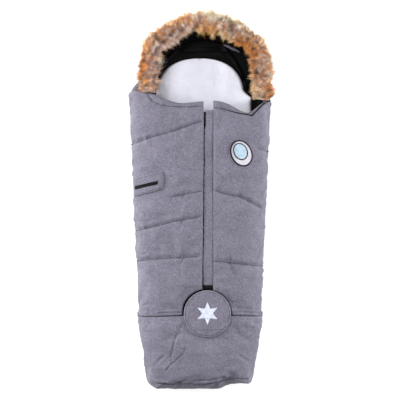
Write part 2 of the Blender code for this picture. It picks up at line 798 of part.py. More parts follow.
def disc_outline(radius, low, high):
    """The part of a disc about the cover's centre between two offsets in y."""
    steps = 32
    outline = []
    start, end = math.asin(low / radius), math.asin(high / radius)
    for k in range(steps // 2 + 1):
        angle = mix(start, end, k / (steps // 2))
        outline.append((COVER_X + radius * math.cos(angle), COVER_Y + radius * math.sin(angle)))
    if high < radius:
        outline_left = [(2 * COVER_X - x, y) for x, y in reversed(outline)]
    else:
        outline_left = [(2 * COVER_X - x, y) for x, y in reversed(outline[:-1])]
    if low <= -radius:
        outline_left = outline_left[:-1]
    return outline + outline_left


def emblem_outline():
    """A plain star with blunt arms, a generic winter sign."""
    outline = []
    middle_y = COVER_Y + EMBLEM_DROP
    for k in range(2 * EMBLEM_POINTS):
        radius = EMBLEM_RADIUS if k % 2 == 0 else EMBLEM_RADIUS * EMBLEM_WAIST_SHARE
        angle = math.pi / 2 + math.pi * k / EMBLEM_POINTS
        outline.append((COVER_X + radius * math.cos(angle), middle_y + radius * math.sin(angle)))
    return outline


def cover_top():
    return CROWN_HEIGHT + SEAM_GAP + COVER_SEAT_GAP + COVER_THICKNESS


def zip_end_cover():
    high = cover_top()
    low = high - COVER_THICKNESS
    flap = disc_outline(COVER_RADIUS, -COVER_FOLD_DROP + LAYER_GAP, COVER_RADIUS)
    prism("zip_cover_flap", flap, low, high, melange())
    base = disc_outline(COVER_RADIUS, -COVER_RADIUS, -COVER_FOLD_DROP - LAYER_GAP)
    prism("zip_cover_base", base, low, high, melange())
    print_low = high + LAYER_GAP
    prism("cover_emblem", emblem_outline(), print_low, print_low + EMBLEM_THICKNESS, reflective())


# The pocket and the badge, which lie on the curved panels


def pocket_place(low_drop, high_drop, left_in, right_in, corner):
    """Places a sheet on the left panel below the pocket's slanted top edge. Depth is below the surface."""

    def place(u, v, depth, inset):
        drop = mix(high_drop, low_drop, 1.0 - v)
        rounding = corner * (1.0 - bow(max(0.0, 1.0 - (low_drop - drop) / corner), 2.0)) if corner else 0.0
        x = mix(POCKET_LEFT_X + left_in, POCKET_RIGHT_X - right_in - rounding, u)
        climb = POCKET_CLIMB * (x - POCKET_LEFT_X) / (POCKET_RIGHT_X - POCKET_LEFT_X)
        y = POCKET_TOP_Y + climb - drop
        sink = channel_sink(-1, x, y)
        angle = angle_at_x(x, side_seam(y))
        x, z = arch(angle, side_seam(y) - depth, CROWN_HEIGHT - sink - depth)
        return x, y, z

    return place


def pocket():
    welt = pocket_place(WELT_HEIGHT + WELT_INSET, WELT_INSET, WELT_INSET, WELT_INSET, 0.0)
    slab("pocket_welt", welt, 12, 3, -PATCH_GAP - WELT_THICKNESS, -PATCH_GAP, 0.0, black_cloth())
    flap = pocket_place(POCKET_HEIGHT, 0.0, 0.0, 0.0, POCKET_CORNER)
    flap_low = PATCH_GAP + WELT_THICKNESS + POCKET_LIFT
    flap_high = flap_low + POCKET_FLAP
    slab("pocket_flap", flap, 12, 9, -flap_high, -flap_low, 0.0, melange())
    label = pocket_place(LABEL_DROP + LABEL_HEIGHT, LABEL_DROP, LABEL_INSET, LABEL_END, 0.0)
    label_low = flap_high + PATCH_GAP
    slab("pocket_label", label, 12, 3, -label_low - LABEL_THICKNESS, -label_low, 0.0, rubber())


def pocket_hinge():
    """The middle of the flap's top edge, raised clear of the flap's own thickness."""
    x = (POCKET_LEFT_X + POCKET_RIGHT_X) / 2
    y = POCKET_TOP_Y + POCKET_CLIMB / 2
    _, z = arch(angle_at_x(x, side_seam(y)), side_seam(y), CROWN_HEIGHT)
    return x, y, z + POCKET_HINGE_LIFT


def badge_place(share, up):
    """A tilted oval on the right panel. Depth is below the panel's surface, measured straight down."""

    def place(u, v, depth, inset):
        a, b = 2.0 * u - 1.0, 2.0 * v - 1.0
        a, b = a * math.sqrt(1.0 - b * b / 2.0), b * math.sqrt(1.0 - a * a / 2.0)
        across, along = a * BADGE_HALF_WIDTH * share, b * BADGE_HALF_LENGTH * share + up
        x = BADGE_X + across * math.cos(BADGE_TILT) - along * math.sin(BADGE_TILT)
        y = BADGE_Y + across * math.sin(BADGE_TILT) + along * math.cos(BADGE_TILT)
        crown = CROWN_HEIGHT - channel_sink(1, x, y)
        _, z = arch(angle_at_x(x, side_seam(y)), side_seam(y), crown)
        return x, y, z - depth

    return place


def badge():
    low, high = BADGE_SEAT, BADGE_SEAT + BADGE_BACKING
    slab("badge_backing", badge_place(1.0, 0.0), 8, 8, -high, -low, 0.0, patch_grey())
    face_low = high + PATCH_GAP
    face = badge_place(BADGE_FACE_SHARE, BADGE_FACE_UP)
    slab("badge_face", face, 8, 8, -face_low - BADGE_FACE, -face_low, 0.0, patch_blue())


# The hood


def hood_line(share, half, rise):
    """The plan of the hood: straight legs from the neck, then a half ellipse round the head."""
    leg = HOOD_LEG_SHARE
    if share < leg:
        return HOOD_X - half, mix(HOOD_FRONT_LEFT_Y, HOOD_BEND_Y, share / leg)
    if share > 1.0 - leg:
        return HOOD_X + half, mix(HOOD_FRONT_RIGHT_Y, HOOD_BEND_Y, (1.0 - share) / leg)
    angle = math.pi * (share - leg) / (1.0 - 2.0 * leg)
    return HOOD_X - half * math.cos(angle), HOOD_BEND_Y + rise * math.sin(angle)


def hood_seat_height():
    return BACK_THICKNESS + HOOD_SEAT_GAP


def hood_place(u, v, depth, inset):
    """The hood's band, from its foot on the back up to its rim. Depth is measured outwards."""
    half = mix(HOOD_LOW_HALF, HOOD_RIM_HALF, v) + depth
    rise = mix(HOOD_LOW_RISE, HOOD_RIM_RISE, v) + depth
    x, y = hood_line(u, half, rise)
    return x, y, mix(hood_seat_height() + SEAM_GAP, HOOD_RIM_HEIGHT, v)


def rim_place(u, v, depth, inset):
    """A flat tape along the hood's rim. Depth is measured up from the rim."""
    width = mix(0.0, LINING + LAYER_GAP + HOOD_WADDING, v)
    x, y = hood_line(u, HOOD_RIM_HALF + width, HOOD_RIM_RISE + width)
    return x, y, HOOD_RIM_HEIGHT + LAYER_GAP + depth


def fur_ruff():
    """A thick round ruff along the rim, rounded off at both ends."""
    rings, sides = 24, 12
    middle = (LINING + LAYER_GAP + HOOD_WADDING) / 2 + FUR_OUT
    height = HOOD_RIM_HEIGHT + 2 * LAYER_GAP + RIM_TAPE + FUR_HALF_HEIGHT
    half, rise = HOOD_RIM_HALF + middle, HOOD_RIM_RISE + middle
    line = [hood_line(k / rings, half, rise) for k in range(rings + 1)]
    lengths = [0.0]
    for a, b in zip(line, line[1:]):
        lengths.append(lengths[-1] + math.dist(a, b))
    points, faces = [], []
    for k, (x, y) in enumerate(line):
        before, after = line[max(0, k - 1)], line[min(rings, k + 1)]
        along = math.dist(before, after)
        out_x, out_y = -(after[1] - before[1]) / along, (after[0] - before[0]) / along
        from_end = min(lengths[k], lengths[-1] - lengths[k])
        round_off = bow(max(0.0, 1.0 - (from_end + LINING) / FUR_END_ROUND), 2.0)
        for s in range(sides):
            angle = 2 * math.pi * s / sides
            away = FUR_RADIUS * round_off * math.cos(angle)
            lift = FUR_HALF_HEIGHT * round_off * math.sin(angle)
            points.append((x + away * out_x, y + away * out_y, height + lift))
    for k in range(rings):
        for s in range(sides):
            n = (s + 1) % sides
            a, b = k * sides, (k + 1) * sides
            faces.append((a + s, a + n, b + n, b + s))
    faces.append(tuple(range(sides)))
    faces.append(tuple(reversed(range(rings * sides, (rings + 1) * sides))))
    object_from("fur_trim", points, faces, fur())


def hood():
    columns, rows = 23, 4
    slab("hood_lining", hood_place, columns, rows, 0.0, LINING, 0.0, black_cloth())
    pad = (LINING + LAYER_GAP, LINING + LAYER_GAP + HOOD_WADDING)
    slab("hood_shell", hood_place, columns, rows, *pad, 0.0, melange())
    slab("hood_rim_tape", rim_place, columns, 2, 0.0, RIM_TAPE, 0.0, black_cloth())
    fur_ruff()


# The joints' axes


def hang(axis_name, place, names):
    """Parents the named pieces to an empty on their joint's axis, without moving them."""
    axis = empty(axis_name, place)
    for name in names:
        piece = bpy.data.objects[name]
        piece.parent = axis
        piece.matrix_parent_inverse.translation = [-value for value in place]


def hang_moving_pieces():
    layers = ("shell", "wadding", "lining")
    for side, sign in (("left", -1), ("right", 1)):
        names = [f"{side}_front_{layer}" for layer in layers]
        names += [f"{side}_zip_teeth", f"{side}_zip_tape", f"{side}_knee_zip_teeth", f"{side}_knee_zip_tape"]
        if side == "left":
            names += ["pocket_welt"]
        else:
            names += ["zip_bottom_stop", "zip_placket", "badge_backing", "badge_face"]
        hang(f"{side}_seam", (sign * side_seam(CROSS_Y), CROSS_Y, SEAM_HEIGHT), names)
    names = [f"foot_front_{layer}" for layer in layers] + ["zip_cover_base"]
    names += [f"{side}_toe_zip_{kind}" for side in ("left", "right") for kind in ("teeth", "tape")]
    hang("toe_seam", (0.0, TOE_Y, SEAM_HEIGHT), names)
    fold = (COVER_X, COVER_Y - COVER_FOLD_DROP, cover_top())
    hang("cover_fold", fold, ["zip_cover_flap", "cover_emblem"])
    hang("pocket_fold", pocket_hinge(), ["pocket_flap", "pocket_label"])
    hood_pieces = ["hood_lining", "hood_shell", "hood_rim_tape", "fur_trim"]
    hang("hood_fold", (0.0, HOOD_HINGE_Y, HOOD_HINGE_Z), hood_pieces)


def main():
    clear_scene()
    padded_back()
    for name, edge_x, side in (("left_front", LEFT_EDGE_X, -1), ("right_front", RIGHT_EDGE_X, 1)):
        places = (front_place(edge_x, side), front_place(edge_x, side, bitten=False))
        padded_front(name, *places, 9, 21, FRONT_WADDING_SLACK, FRONT_WADDING_SEAT)
    padded_front("foot_front", foot_place, foot_place, 13, 9, FOOT_WADDING_SLACK, WADDING_GAP)
    centre_zip()
    foot_zips()
    sliders()
    zip_end_cover()
    pocket()
    badge()
    hood()
    hang_moving_pieces()


main()
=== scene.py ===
"""A padded stroller footmuff lying on its back: hood towards +Y, toes towards -Y, +Z out of the front.

Each cloth piece is a surface worked out on a grid of two parameters. The padded panels are then blown
up as cloth between their sewn seams, and the puckers, creases, hems and stitches are laid on after it.
All sizes are in metres and all angles in radians.
"""

from __future__ import annotations

import json
import logging
import math
from collections.abc import Sequence
from dataclasses import dataclass, field
from enum import Enum

import bmesh
import bpy
import mathutils
import numpy as np
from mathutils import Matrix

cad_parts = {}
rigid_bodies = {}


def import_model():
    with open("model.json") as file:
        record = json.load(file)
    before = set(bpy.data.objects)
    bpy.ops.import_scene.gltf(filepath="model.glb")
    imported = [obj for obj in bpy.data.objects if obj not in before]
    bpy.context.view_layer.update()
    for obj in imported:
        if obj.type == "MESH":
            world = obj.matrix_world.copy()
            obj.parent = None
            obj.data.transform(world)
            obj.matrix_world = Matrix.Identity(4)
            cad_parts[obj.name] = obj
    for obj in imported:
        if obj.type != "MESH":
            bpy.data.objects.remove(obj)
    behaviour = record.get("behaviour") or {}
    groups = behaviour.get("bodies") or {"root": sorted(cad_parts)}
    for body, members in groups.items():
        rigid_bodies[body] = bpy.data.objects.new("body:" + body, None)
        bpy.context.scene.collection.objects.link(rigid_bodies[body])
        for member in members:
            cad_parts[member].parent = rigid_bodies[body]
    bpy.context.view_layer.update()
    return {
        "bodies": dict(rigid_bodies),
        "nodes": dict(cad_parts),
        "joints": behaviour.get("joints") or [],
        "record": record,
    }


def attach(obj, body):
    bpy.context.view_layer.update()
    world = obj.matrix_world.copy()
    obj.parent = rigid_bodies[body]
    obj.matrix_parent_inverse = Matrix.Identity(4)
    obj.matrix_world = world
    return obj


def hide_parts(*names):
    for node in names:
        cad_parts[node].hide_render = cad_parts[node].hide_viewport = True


log = logging.getLogger("footmuff")

MM = 0.001
LATTICE = 24

Points = np.ndarray
Faces = np.ndarray
Shape = tuple[Points, Faces]
Span = tuple[float, float]
Piece = bpy.types.Object
Coat = bpy.types.Material
Tree = bpy.types.NodeTree
Socket = bpy.types.NodeSocket

UPWARDS = np.array([0.0, 0.0, 1.0])
WELD = 0.002 * MM
SLIVER = 0.01 * MM
STRAND_COLOUR = "strand_colour"


# Numbers and fields


def mix(a: Points | float, b: Points | float, share: Points | float) -> Points:
    """The value a share of the way from a to b."""
    return a + (b - a) * share


def smooth(low: float, high: float, value: Points | float) -> Points:
    """A step that rises from 0 at low to 1 at high as 3 t squared less 2 t cubed."""
    share = np.clip((np.asarray(value, float) - low) / (high - low), 0.0, 1.0)
    return share * share * (3.0 - 2.0 * share)


def signed_power(value: Points, power: float) -> Points:
    """The size of value to a power, with value's own sign."""
    return np.sign(value) * np.abs(value) ** power


def bow(share: Points | float, squareness: float) -> Points:
    """The height of a squared arc: one less share to a power, to the inverse power."""
    return np.clip(1.0 - np.clip(np.abs(share), 0.0, 1.0) ** squareness, 0.0, 1.0) ** (1.0 / squareness)


def bell(away: Points, width: float) -> Points:
    """A bell curve: e to the minus square of away over width."""
    return np.exp(-((away / width) ** 2))


@dataclass(frozen=True)
class Ripple:
    """Smooth seeded noise: random heights on a cubic lattice, blended between the corners.

    Each corner counts by the product of its smooth shares along the three axes.
    """

    spacing: float
    seed: int

    def at(self, points: Points) -> Points:
        """The noise, from -1 to 1, at each point.

        Args:
            points: an array whose last axis holds x, y and z.

        Returns:
            One value for each point.
        """
        heights = np.random.default_rng(self.seed).uniform(-1.0, 1.0, (LATTICE, LATTICE, LATTICE))
        cell = points / self.spacing
        base = np.floor(cell).astype(int)
        part = smooth(0.0, 1.0, cell - base)
        total = np.zeros(points.shape[:-1])
        for corner in np.ndindex(2, 2, 2):
            weight = np.ones(points.shape[:-1])
            for axis, step in enumerate(corner):
                weight = weight * (part[..., axis] if step else 1.0 - part[..., axis])
            index = tuple((base[..., axis] + corner[axis]) % LATTICE for axis in range(3))
            total = total + weight * heights[index]
        return total


def unit(vectors: Points) -> Points:
    """Vectors along the last axis, each divided by its own length."""
    return vectors / np.maximum(np.linalg.norm(vectors, axis=-1, keepdims=True), 1e-12)


def normals_of(grid: Points) -> Points:
    """Unit normals of a grid: the cross product of its steps along columns and along rows."""
    return unit(np.cross(np.gradient(grid, axis=1), np.gradient(grid, axis=0)))


def way_along(path: Points) -> Points:
    """How far along a path each of its points lies, from 0 at the first."""
    return np.concatenate([[0.0], np.cumsum(np.linalg.norm(np.diff(path, axis=0), axis=1))])


def read_along(at: Points, run: Points, values: Points) -> Points:
    """Values kept at places along a run, read by straight lines at other places on it."""
    return np.stack([np.interp(at, run, values[:, axis]) for axis in range(values.shape[1])], -1)


def eased(values: Points, times: int) -> Points:
    """Averages each row with the rows beside it, a number of times, and leaves the end rows as they are."""
    for _ in range(times):
        values[1:-1] = values[1:-1] / 2 + (values[:-2] + values[2:]) / 4
    return values


def spaced(count: int, length: float, edge: float) -> Points:
    """Shares from 0 to 1 along a length: close steps within an edge of both ends, even ones between."""
    close = np.array([0.0, 0.06, 0.18, 0.36, 0.60]) * edge / length
    middle = np.linspace(edge / length, 1.0 - edge / length, count)
    return np.concatenate([close, middle, 1.0 - close[::-1]])


# Meshes from grids


def grid_faces(rows: int, columns: int, wrap: bool = False, first: int = 0) -> Faces:
    """Four-sided faces over a grid whose points run row by row.

    Args:
        rows, columns: the grid's size in points.
        wrap: whether the last column joins the first.
        first: the index of the grid's first point.

    Returns:
        One row of four indices for each face, turning left as seen along row cross column.
    """
    row, column = np.meshgrid(np.arange(rows - 1), np.arange(columns - (not wrap)), indexing="ij")
    beside = (column + 1) % columns
    corners = [row * columns + column, row * columns + beside]
    corners += [(row + 1) * columns + beside, (row + 1) * columns + column]
    return np.stack(corners, -1).reshape(-1, 4) + first


def ring_of(rows: int, columns: int) -> Points:
    """The indices round the edge of a grid, once each, turning left."""
    index = np.arange(rows * columns).reshape(rows, columns)
    parts = [index[0, :-1], index[:-1, -1], index[-1, :0:-1], index[:0:-1, 0]]
    return np.concatenate(parts)


def join_faces(a: Points, b: Points) -> Faces:
    """Faces between two closed rows of indices of the same length."""
    return np.stack([a, b, np.roll(b, -1), np.roll(a, -1)], -1)


def thick_sheet(outer: Points, inner: Points) -> Shape:
    """The closed skin of a layer between two grids of the same size.

    Args:
        outer: the upper grid, seen from outside with x across and y along.
        inner: the grid under it.

    Returns:
        The points, the upper grid's first, and the faces.
    """
    rows, columns = outer.shape[:2]
    size = rows * columns
    ring = ring_of(rows, columns)
    faces = [grid_faces(rows, columns), grid_faces(rows, columns, first=size)[:, ::-1]]
    faces.append(join_faces(ring, ring + size))
    return np.concatenate([outer.reshape(-1, 3), inner.reshape(-1, 3)]), np.concatenate(faces)


def frames_along(path: Points, up: Points) -> tuple[Points, Points]:
    """The side and the lift at each point of a path, from its steps and a rough up direction."""
    forward = unit(np.gradient(path, axis=0))
    side = unit(np.cross(forward, up))
    return side, np.cross(side, forward)


def tube(path: Points, up: Points, radius: Points, sides: int, closed: bool = False) -> Shape:
    """A round skin along a path: each ring is the path's point plus a circle in its side and lift.

    Args:
        path: points along the middle.
        up: a rough up direction for each point, or one for all.
        radius: a radius for each point.
        sides: faces round the tube.
        closed: whether the path's last point joins its first.

    Returns:
        The points and the faces, with both ends filled where the path is open.
    """
    up = np.broadcast_to(up, path.shape)
    if closed:
        ends = np.concatenate([path[-2:], path, path[:2]])
        wide = np.concatenate([up[-2:], up, up[:2]])
        side, lift = (part[2:-2] for part in frames_along(ends, wide))
    else:
        side, lift = frames_along(path, up)
    angle = 2 * math.pi * np.arange(sides) / sides
    circle = np.cos(angle)[None, :, None] * side[:, None] + np.sin(angle)[None, :, None] * lift[:, None]
    points = (path[:, None] + radius[:, None, None] * circle).reshape(-1, 3)
    faces = grid_faces(len(path), sides, wrap=True)
    around, beside = np.arange(sides), (np.arange(sides) + 1) % sides
    top = (len(path) - 1) * sides
    if closed:
        return points, np.concatenate([faces, join_faces(around + top, around)[:, [0, 3, 2, 1]]])
    first = around * 0 + len(points)
    fill = [np.stack([first, beside, around, first], -1)]
    fill.append(np.stack([first + 1, top + around, top + beside, first + 1], -1))
    return np.concatenate([points, path[:1], path[-1:]]), np.concatenate([faces, *fill])


def scattered(template: Points, faces: Faces, axes: Points, origins: Points) -> Shape:
    """Copies of a small shape, each turned by its own axes and put at its own origin.

    Args:
        template: the shape's points.
        faces: its faces.
        axes: for each copy, three rows: where its own x, y and z point, with their scales.
        origins: each copy's place.

    Returns:
        All the points and all the faces.
    """
    points = np.einsum("pk,nkc->npc", template, axes) + origins[:, None]
    steps = np.arange(len(origins))[:, None, None] * len(template)
    return points.reshape(-1, 3), (faces[None] + steps).reshape(-1, faces.shape[1])


def merged(*shapes: Shape) -> Shape:
    """Several shapes as one set of points and faces."""
    points, faces, first = [], [], 0
    for some_points, some_faces in shapes:
        points.append(some_points)
        faces.append(some_faces + first)
        first += len(some_points)
    return np.concatenate(points), np.concatenate(faces)


def fan(count: int, first: int = 0, up: bool = False) -> Faces:
    """Triangles that fill a ring of points from its first one, each with that corner repeated.

    Args:
        count: how many points the ring has.
        first: the index of its first point.
        up: whether the triangles turn the way that the ring does.

    Returns:
        One row of four indices for each triangle.
    """
    k = np.arange(1, count - 1)
    corners = (k * 0, k, k + 1) if up else (k * 0, k + 1, k)
    return np.stack([*corners, k * 0], -1) + first


def add_object(name: str, points: Points, faces: Sequence[Sequence[int]]) -> Piece:
    """Makes an object at the origin from points and faces."""
    mesh = bpy.data.meshes.new(name)
    mesh.from_pydata(points.tolist(), [], faces)
    made = bpy.data.objects.new(name, mesh)
    bpy.context.scene.collection.objects.link(made)
    return made


def add_piece(name: str, points: Points, faces: Faces, coat: Coat, flat: bool = False) -> Piece:
    """Makes an object at the origin from points and faces, with its repeated corners dropped.

    Args:
        name: the piece's name.
        points: its points.
        faces: its faces, where a repeated index makes a triangle.
        coat: its material.
        flat: whether its faces stay flat-shaded.

    Returns:
        The new object.
    """
    tidy = [tuple(dict.fromkeys(face)) for face in faces.tolist()]
    made = add_object(name, points, [face for face in tidy if len(face) > 2])
    made.data.materials.append(coat)
    if not flat:
        made.data.shade_smooth()
    made.data.update()
    return made


def outward(piece: Piece, flat_faces: bool = False) -> Piece:
    """Welds the points of a closed piece that fall together, and turns its faces to point out of it.

    Args:
        piece: the closed piece.
        flat_faces: whether faces with no area are closed up as well.

    Returns:
        The same piece.
    """
    shape = bmesh.new()
    shape.from_mesh(piece.data)
    bmesh.ops.remove_doubles(shape, verts=shape.verts, dist=WELD)
    if flat_faces:
        bmesh.ops.dissolve_degenerate(shape, dist=SLIVER, edges=shape.edges)
    bmesh.ops.holes_fill(shape, edges=shape.edges, sides=4)
    bmesh.ops.recalc_face_normals(shape, faces=shape.faces)
    if shape.calc_volume(signed=True) < 0:
        bmesh.ops.reverse_faces(shape, faces=shape.faces)
    shape.to_mesh(piece.data)
    shape.free()
    return piece


def finish_modifiers(piece: Piece) -> None:
    """Applies a piece's modifiers, so that none is left on it."""
    graph = bpy.context.evaluated_depsgraph_get()
    mesh = bpy.data.meshes.new_from_object(piece.evaluated_get(graph), depsgraph=graph)
    old = piece.data
    piece.modifiers.clear()
    piece.data = mesh
    bpy.data.meshes.remove(old)


def set_out(piece: Piece, body: str, slot: str, *replaced: str) -> Piece:
    """Puts a piece on its body, hides the nodes that it stands for, and gives it back."""
    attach(piece, body)
    if replaced:
        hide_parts(*replaced)
    log.info("%s: %d points on %s", piece.name, len(piece.data.vertices), body)
    return piece


def add_closed(name: str, shape: Shape, coat: Coat, body: str, slot: str, *replaced: str) -> Piece:
    """Adds a closed piece with its faces turned outwards, and puts it on its body."""
    return set_out(outward(add_piece(name, *shape, coat)), body, slot, *replaced)


# The cloth step for padded panels


@dataclass(frozen=True)
class Blowing:
    """How a padded layer is blown up between its seams.

    growth is the cloth's spare length as a share, cap the furthest that a point may move.
    """

    pressure: float = 3.2
    growth: float = 0.035
    bending: float = 1.6
    frames: int = 18
    cap: float = 6.5 * MM
    quality: int = 4
    mass: float = 0.25
    damping: float = 4.0

    def blow(self, name: str, points: Points, faces: Faces, held: Points) -> Points:
        """Runs the cloth and gives the moved points.

        Args:
            name: a name for the short-lived object.
            points, faces: the layer's closed skin.
            held: from 0, free, to 1, sewn down, for each point.

        Returns:
            The points, each moved no further than the cap.
        """
        pad = add_object(name, points, faces.tolist())
        group = pad.vertex_groups.new(name="sewn")
        rounded = np.round(held, 1)
        for weight in np.unique(rounded):
            chosen = np.flatnonzero(rounded == weight)
            group.add(chosen.tolist(), float(weight), "REPLACE")
        cloth = pad.modifiers.new("cloth", "CLOTH")
        settings = cloth.settings
        settings.vertex_group_mass = "sewn"
        settings.use_pressure = True
        settings.uniform_pressure_force = self.pressure
        settings.effector_weights.gravity = 0.0
        settings.bending_stiffness = self.bending
        settings.shrink_min = -self.growth
        settings.quality = self.quality
        settings.mass = self.mass
        settings.air_damping = self.damping
        cloth.collision_settings.use_collision = False
        scene = bpy.context.scene
        for frame in range(1, self.frames + 1):
            scene.frame_set(frame)
        graph = bpy.context.evaluated_depsgraph_get()
        moved = np.empty(len(points) * 3, np.float32)
        pad.evaluated_get(graph).data.vertices.foreach_get("co", moved)
        bpy.data.objects.remove(pad, do_unlink=True)
        scene.frame_set(1)
        shift = moved.reshape(-1, 3).astype(float) - points
        size = np.maximum(np.linalg.norm(shift, axis=1, keepdims=True), 1e-9)
        return points + shift * np.minimum(1.0, self.cap / size)


# Finishes


def linear(colour: str) -> tuple[float, float, float, float]:
    """An sRGB hex colour as linear red, green, blue and alpha."""
    parts = [int(colour[k : k + 2], 16) / 255.0 for k in (1, 3, 5)]
    parts = [part / 12.92 if part <= 0.04045 else ((part + 0.055) / 1.055) ** 2.4 for part in parts]
    return (*parts, 1.0)


def add_node(tree: Tree, kind: str, inputs: dict | None = None, **settings: object) -> bpy.types.Node:
    """Adds a node with its settings and links.

    Args:
        tree: the material's node tree.
        kind: the node's type.
        inputs: for each socket, a value or the output that feeds it.
        settings: the node's own settings.

    Returns:
        The new node.
    """
    made = tree.nodes.new(kind)
    for name, value in settings.items():
        setattr(made, name, value)
    for socket, value in (inputs or {}).items():
        if isinstance(value, Socket):
            tree.links.new(value, made.inputs[socket])
        else:
            made.inputs[socket].default_value = value
    return made


def noise(tree: Tree, place: Socket, scale: float, **more: float) -> Socket:
    """The strength of a noise over a place, its features the scale's inverse across."""
    return add_node(tree, "ShaderNodeTexNoise", {"Vector": place, "Scale": scale, **more}).outputs[0]


def maths(tree: Tree, operation: str, *values: Socket | float) -> Socket:
    """The result of one operation on two or three values."""
    return add_node(tree, "ShaderNodeMath", dict(enumerate(values)), operation=operation).outputs[0]


def weighed(tree: Tree, value: Socket, share: float, base: Socket | float) -> Socket:
    """A share of a value, added to a base."""
    return maths(tree, "MULTIPLY_ADD", value, share, base)


def ramp(tree: Tree, value: Socket, stops: Sequence[tuple[float, str]]) -> Socket:
    """A colour ramp over a value, from stops of place and hex colour."""
    made = add_node(tree, "ShaderNodeValToRGB", {0: value})
    points = made.color_ramp.elements
    while len(points) < len(stops):
        points.new(0.5)
    for point, (place, colour) in zip(points, stops):
        point.position = place
        point.color = linear(colour)
    return made.outputs["Color"]


@dataclass(frozen=True)
class Finish:
    """What all the finishes share: a name, a roughness and how a material is begun."""

    name: str
    roughness: float
    gloss: float = 0.5

    def begin(self) -> tuple[Coat, Tree, bpy.types.Node, Socket]:
        """A new material, its tree, its shader and the object's own coordinates."""
        made = bpy.data.materials.new(self.name)
        made.use_nodes = True
        tree = made.node_tree
        shader = tree.nodes["Principled BSDF"]
        shader.inputs["Roughness"].default_value = self.roughness
        shader.inputs["Specular IOR Level"].default_value = self.gloss
        place = add_node(tree, "ShaderNodeTexCoord").outputs["Object"]
        return made, tree, shader, place

    def sheen_of(self, shader: bpy.types.Node, weight: float, roughness: float) -> None:
        """Gives the shader the soft glow of fibres that stand up."""
        shader.inputs["Sheen Weight"].default_value = weight
        shader.inputs["Sheen Roughness"].default_value = roughness

    def bump(self, tree: Tree, shader: bpy.types.Node, height: Socket, depth: float) -> None:
        """Feeds a height into the shader's normal, over the one that is there."""
        made = add_node(tree, "ShaderNodeBump", {"Height": height, "Distance": depth, "Strength": 1.0})
        old = shader.inputs["Normal"].links
        if old:
            tree.links.new(old[0].from_socket, made.inputs["Normal"])
        tree.links.new(made.outputs["Normal"], shader.inputs["Normal"])


@dataclass(frozen=True)
class Cloth(Finish):
    """Woven or knitted cloth: flecks of three yarn colours, a thread pattern and a soft sheen.

    fleck is the length of one fleck of yarn, thread the spacing of the weave, and cloudy the size
    of the slow change in shade that dyeing and handling leave.
    """

    dark: str = "#000000"
    middle: str = "#808080"
    light: str = "#FFFFFF"
    gloss: float = 0.12
    fleck: float = 1.6 * MM
    thread: float = 1.3 * MM
    weave_depth: float = 0.16 * MM
    cloudy: float = 45 * MM
    sheen: float = 0.25

    def material(self) -> Coat:
        """The cloth's material."""
        made, tree, shader, place = self.begin()
        stretched = add_node(tree, "ShaderNodeMapping", {"Vector": place, "Scale": (1.0, 0.6, 1.0)})
        yarn = noise(tree, stretched.outputs[0], 1 / self.fleck, Detail=3.0, Roughness=0.7)
        broad = noise(tree, place, 1 / (4 * self.fleck), Detail=2.0)
        slow = noise(tree, place, 1 / self.cloudy, Detail=2.0)
        mixed = weighed(tree, slow, 0.10, weighed(tree, broad, 0.12, weighed(tree, yarn, 0.76, 0.02)))
        colour = ramp(tree, mixed, ((0.36, self.dark), (0.52, self.middle), (0.68, self.light)))
        tree.links.new(colour, shader.inputs["Base Color"])
        self.sheen_of(shader, self.sheen, 0.45)
        heights = []
        for direction in ("X", "Y"):
            bands = {"Vector": place, "Scale": 0.314 / self.thread, "Distortion": 1.2, "Detail": 1.0}
            wave = add_node(tree, "ShaderNodeTexWave", bands, bands_direction=direction)
            heights.append(wave.outputs["Fac"])
        self.bump(tree, shader, maths(tree, "MULTIPLY", *heights), self.weave_depth)
        self.bump(tree, shader, yarn, self.weave_depth)
        return made


@dataclass(frozen=True)
class Pile(Finish):
    """Brushed fleece: white fibres in small curls, which shade each other a little."""

    base: str = "#FFFFFF"
    hollow: str = "#E0E0E0"
    gloss: float = 0.1
    curl: float = 3.4 * MM
    depth: float = 0.35 * MM

    def material(self) -> Coat:
        """The fleece's material."""
        made, tree, shader, place = self.begin()
        curls = noise(tree, place, 1 / self.curl, Detail=4.0, Distortion=1.5)
        soft = noise(tree, place, 1 / (9 * self.curl), Detail=2.0)
        colour = ramp(tree, weighed(tree, soft, 0.6, curls), ((0.55, self.hollow), (0.85, self.base)))
        tree.links.new(colour, shader.inputs["Base Color"])
        self.sheen_of(shader, 0.3, 0.6)
        self.bump(tree, shader, curls, self.depth)
        return made


@dataclass(frozen=True)
class Strands(Finish):
    """Acrylic pile fur: each strand carries its own colour, painted darker at the root as shade among the
    strands, with fine streaks over it.
    """

    def material(self) -> Coat:
        """The fur's material."""
        made, tree, shader, place = self.begin()
        own = add_node(tree, "ShaderNodeAttribute", attribute_name=STRAND_COLOUR)
        streak = noise(tree, place, 900.0, Detail=2.0)
        shade = add_node(tree, "ShaderNodeMapRange", {0: streak, 1: 0.3, 2: 0.7, 3: 0.82, 4: 1.12})
        scaled = {0: own.outputs["Color"], "Scale": shade.outputs[0]}
        colour = add_node(tree, "ShaderNodeVectorMath", scaled, operation="SCALE")
        tree.links.new(colour.outputs[0], shader.inputs["Base Color"])
        shader.inputs["Sheen Weight"].default_value = 0.15
        return made


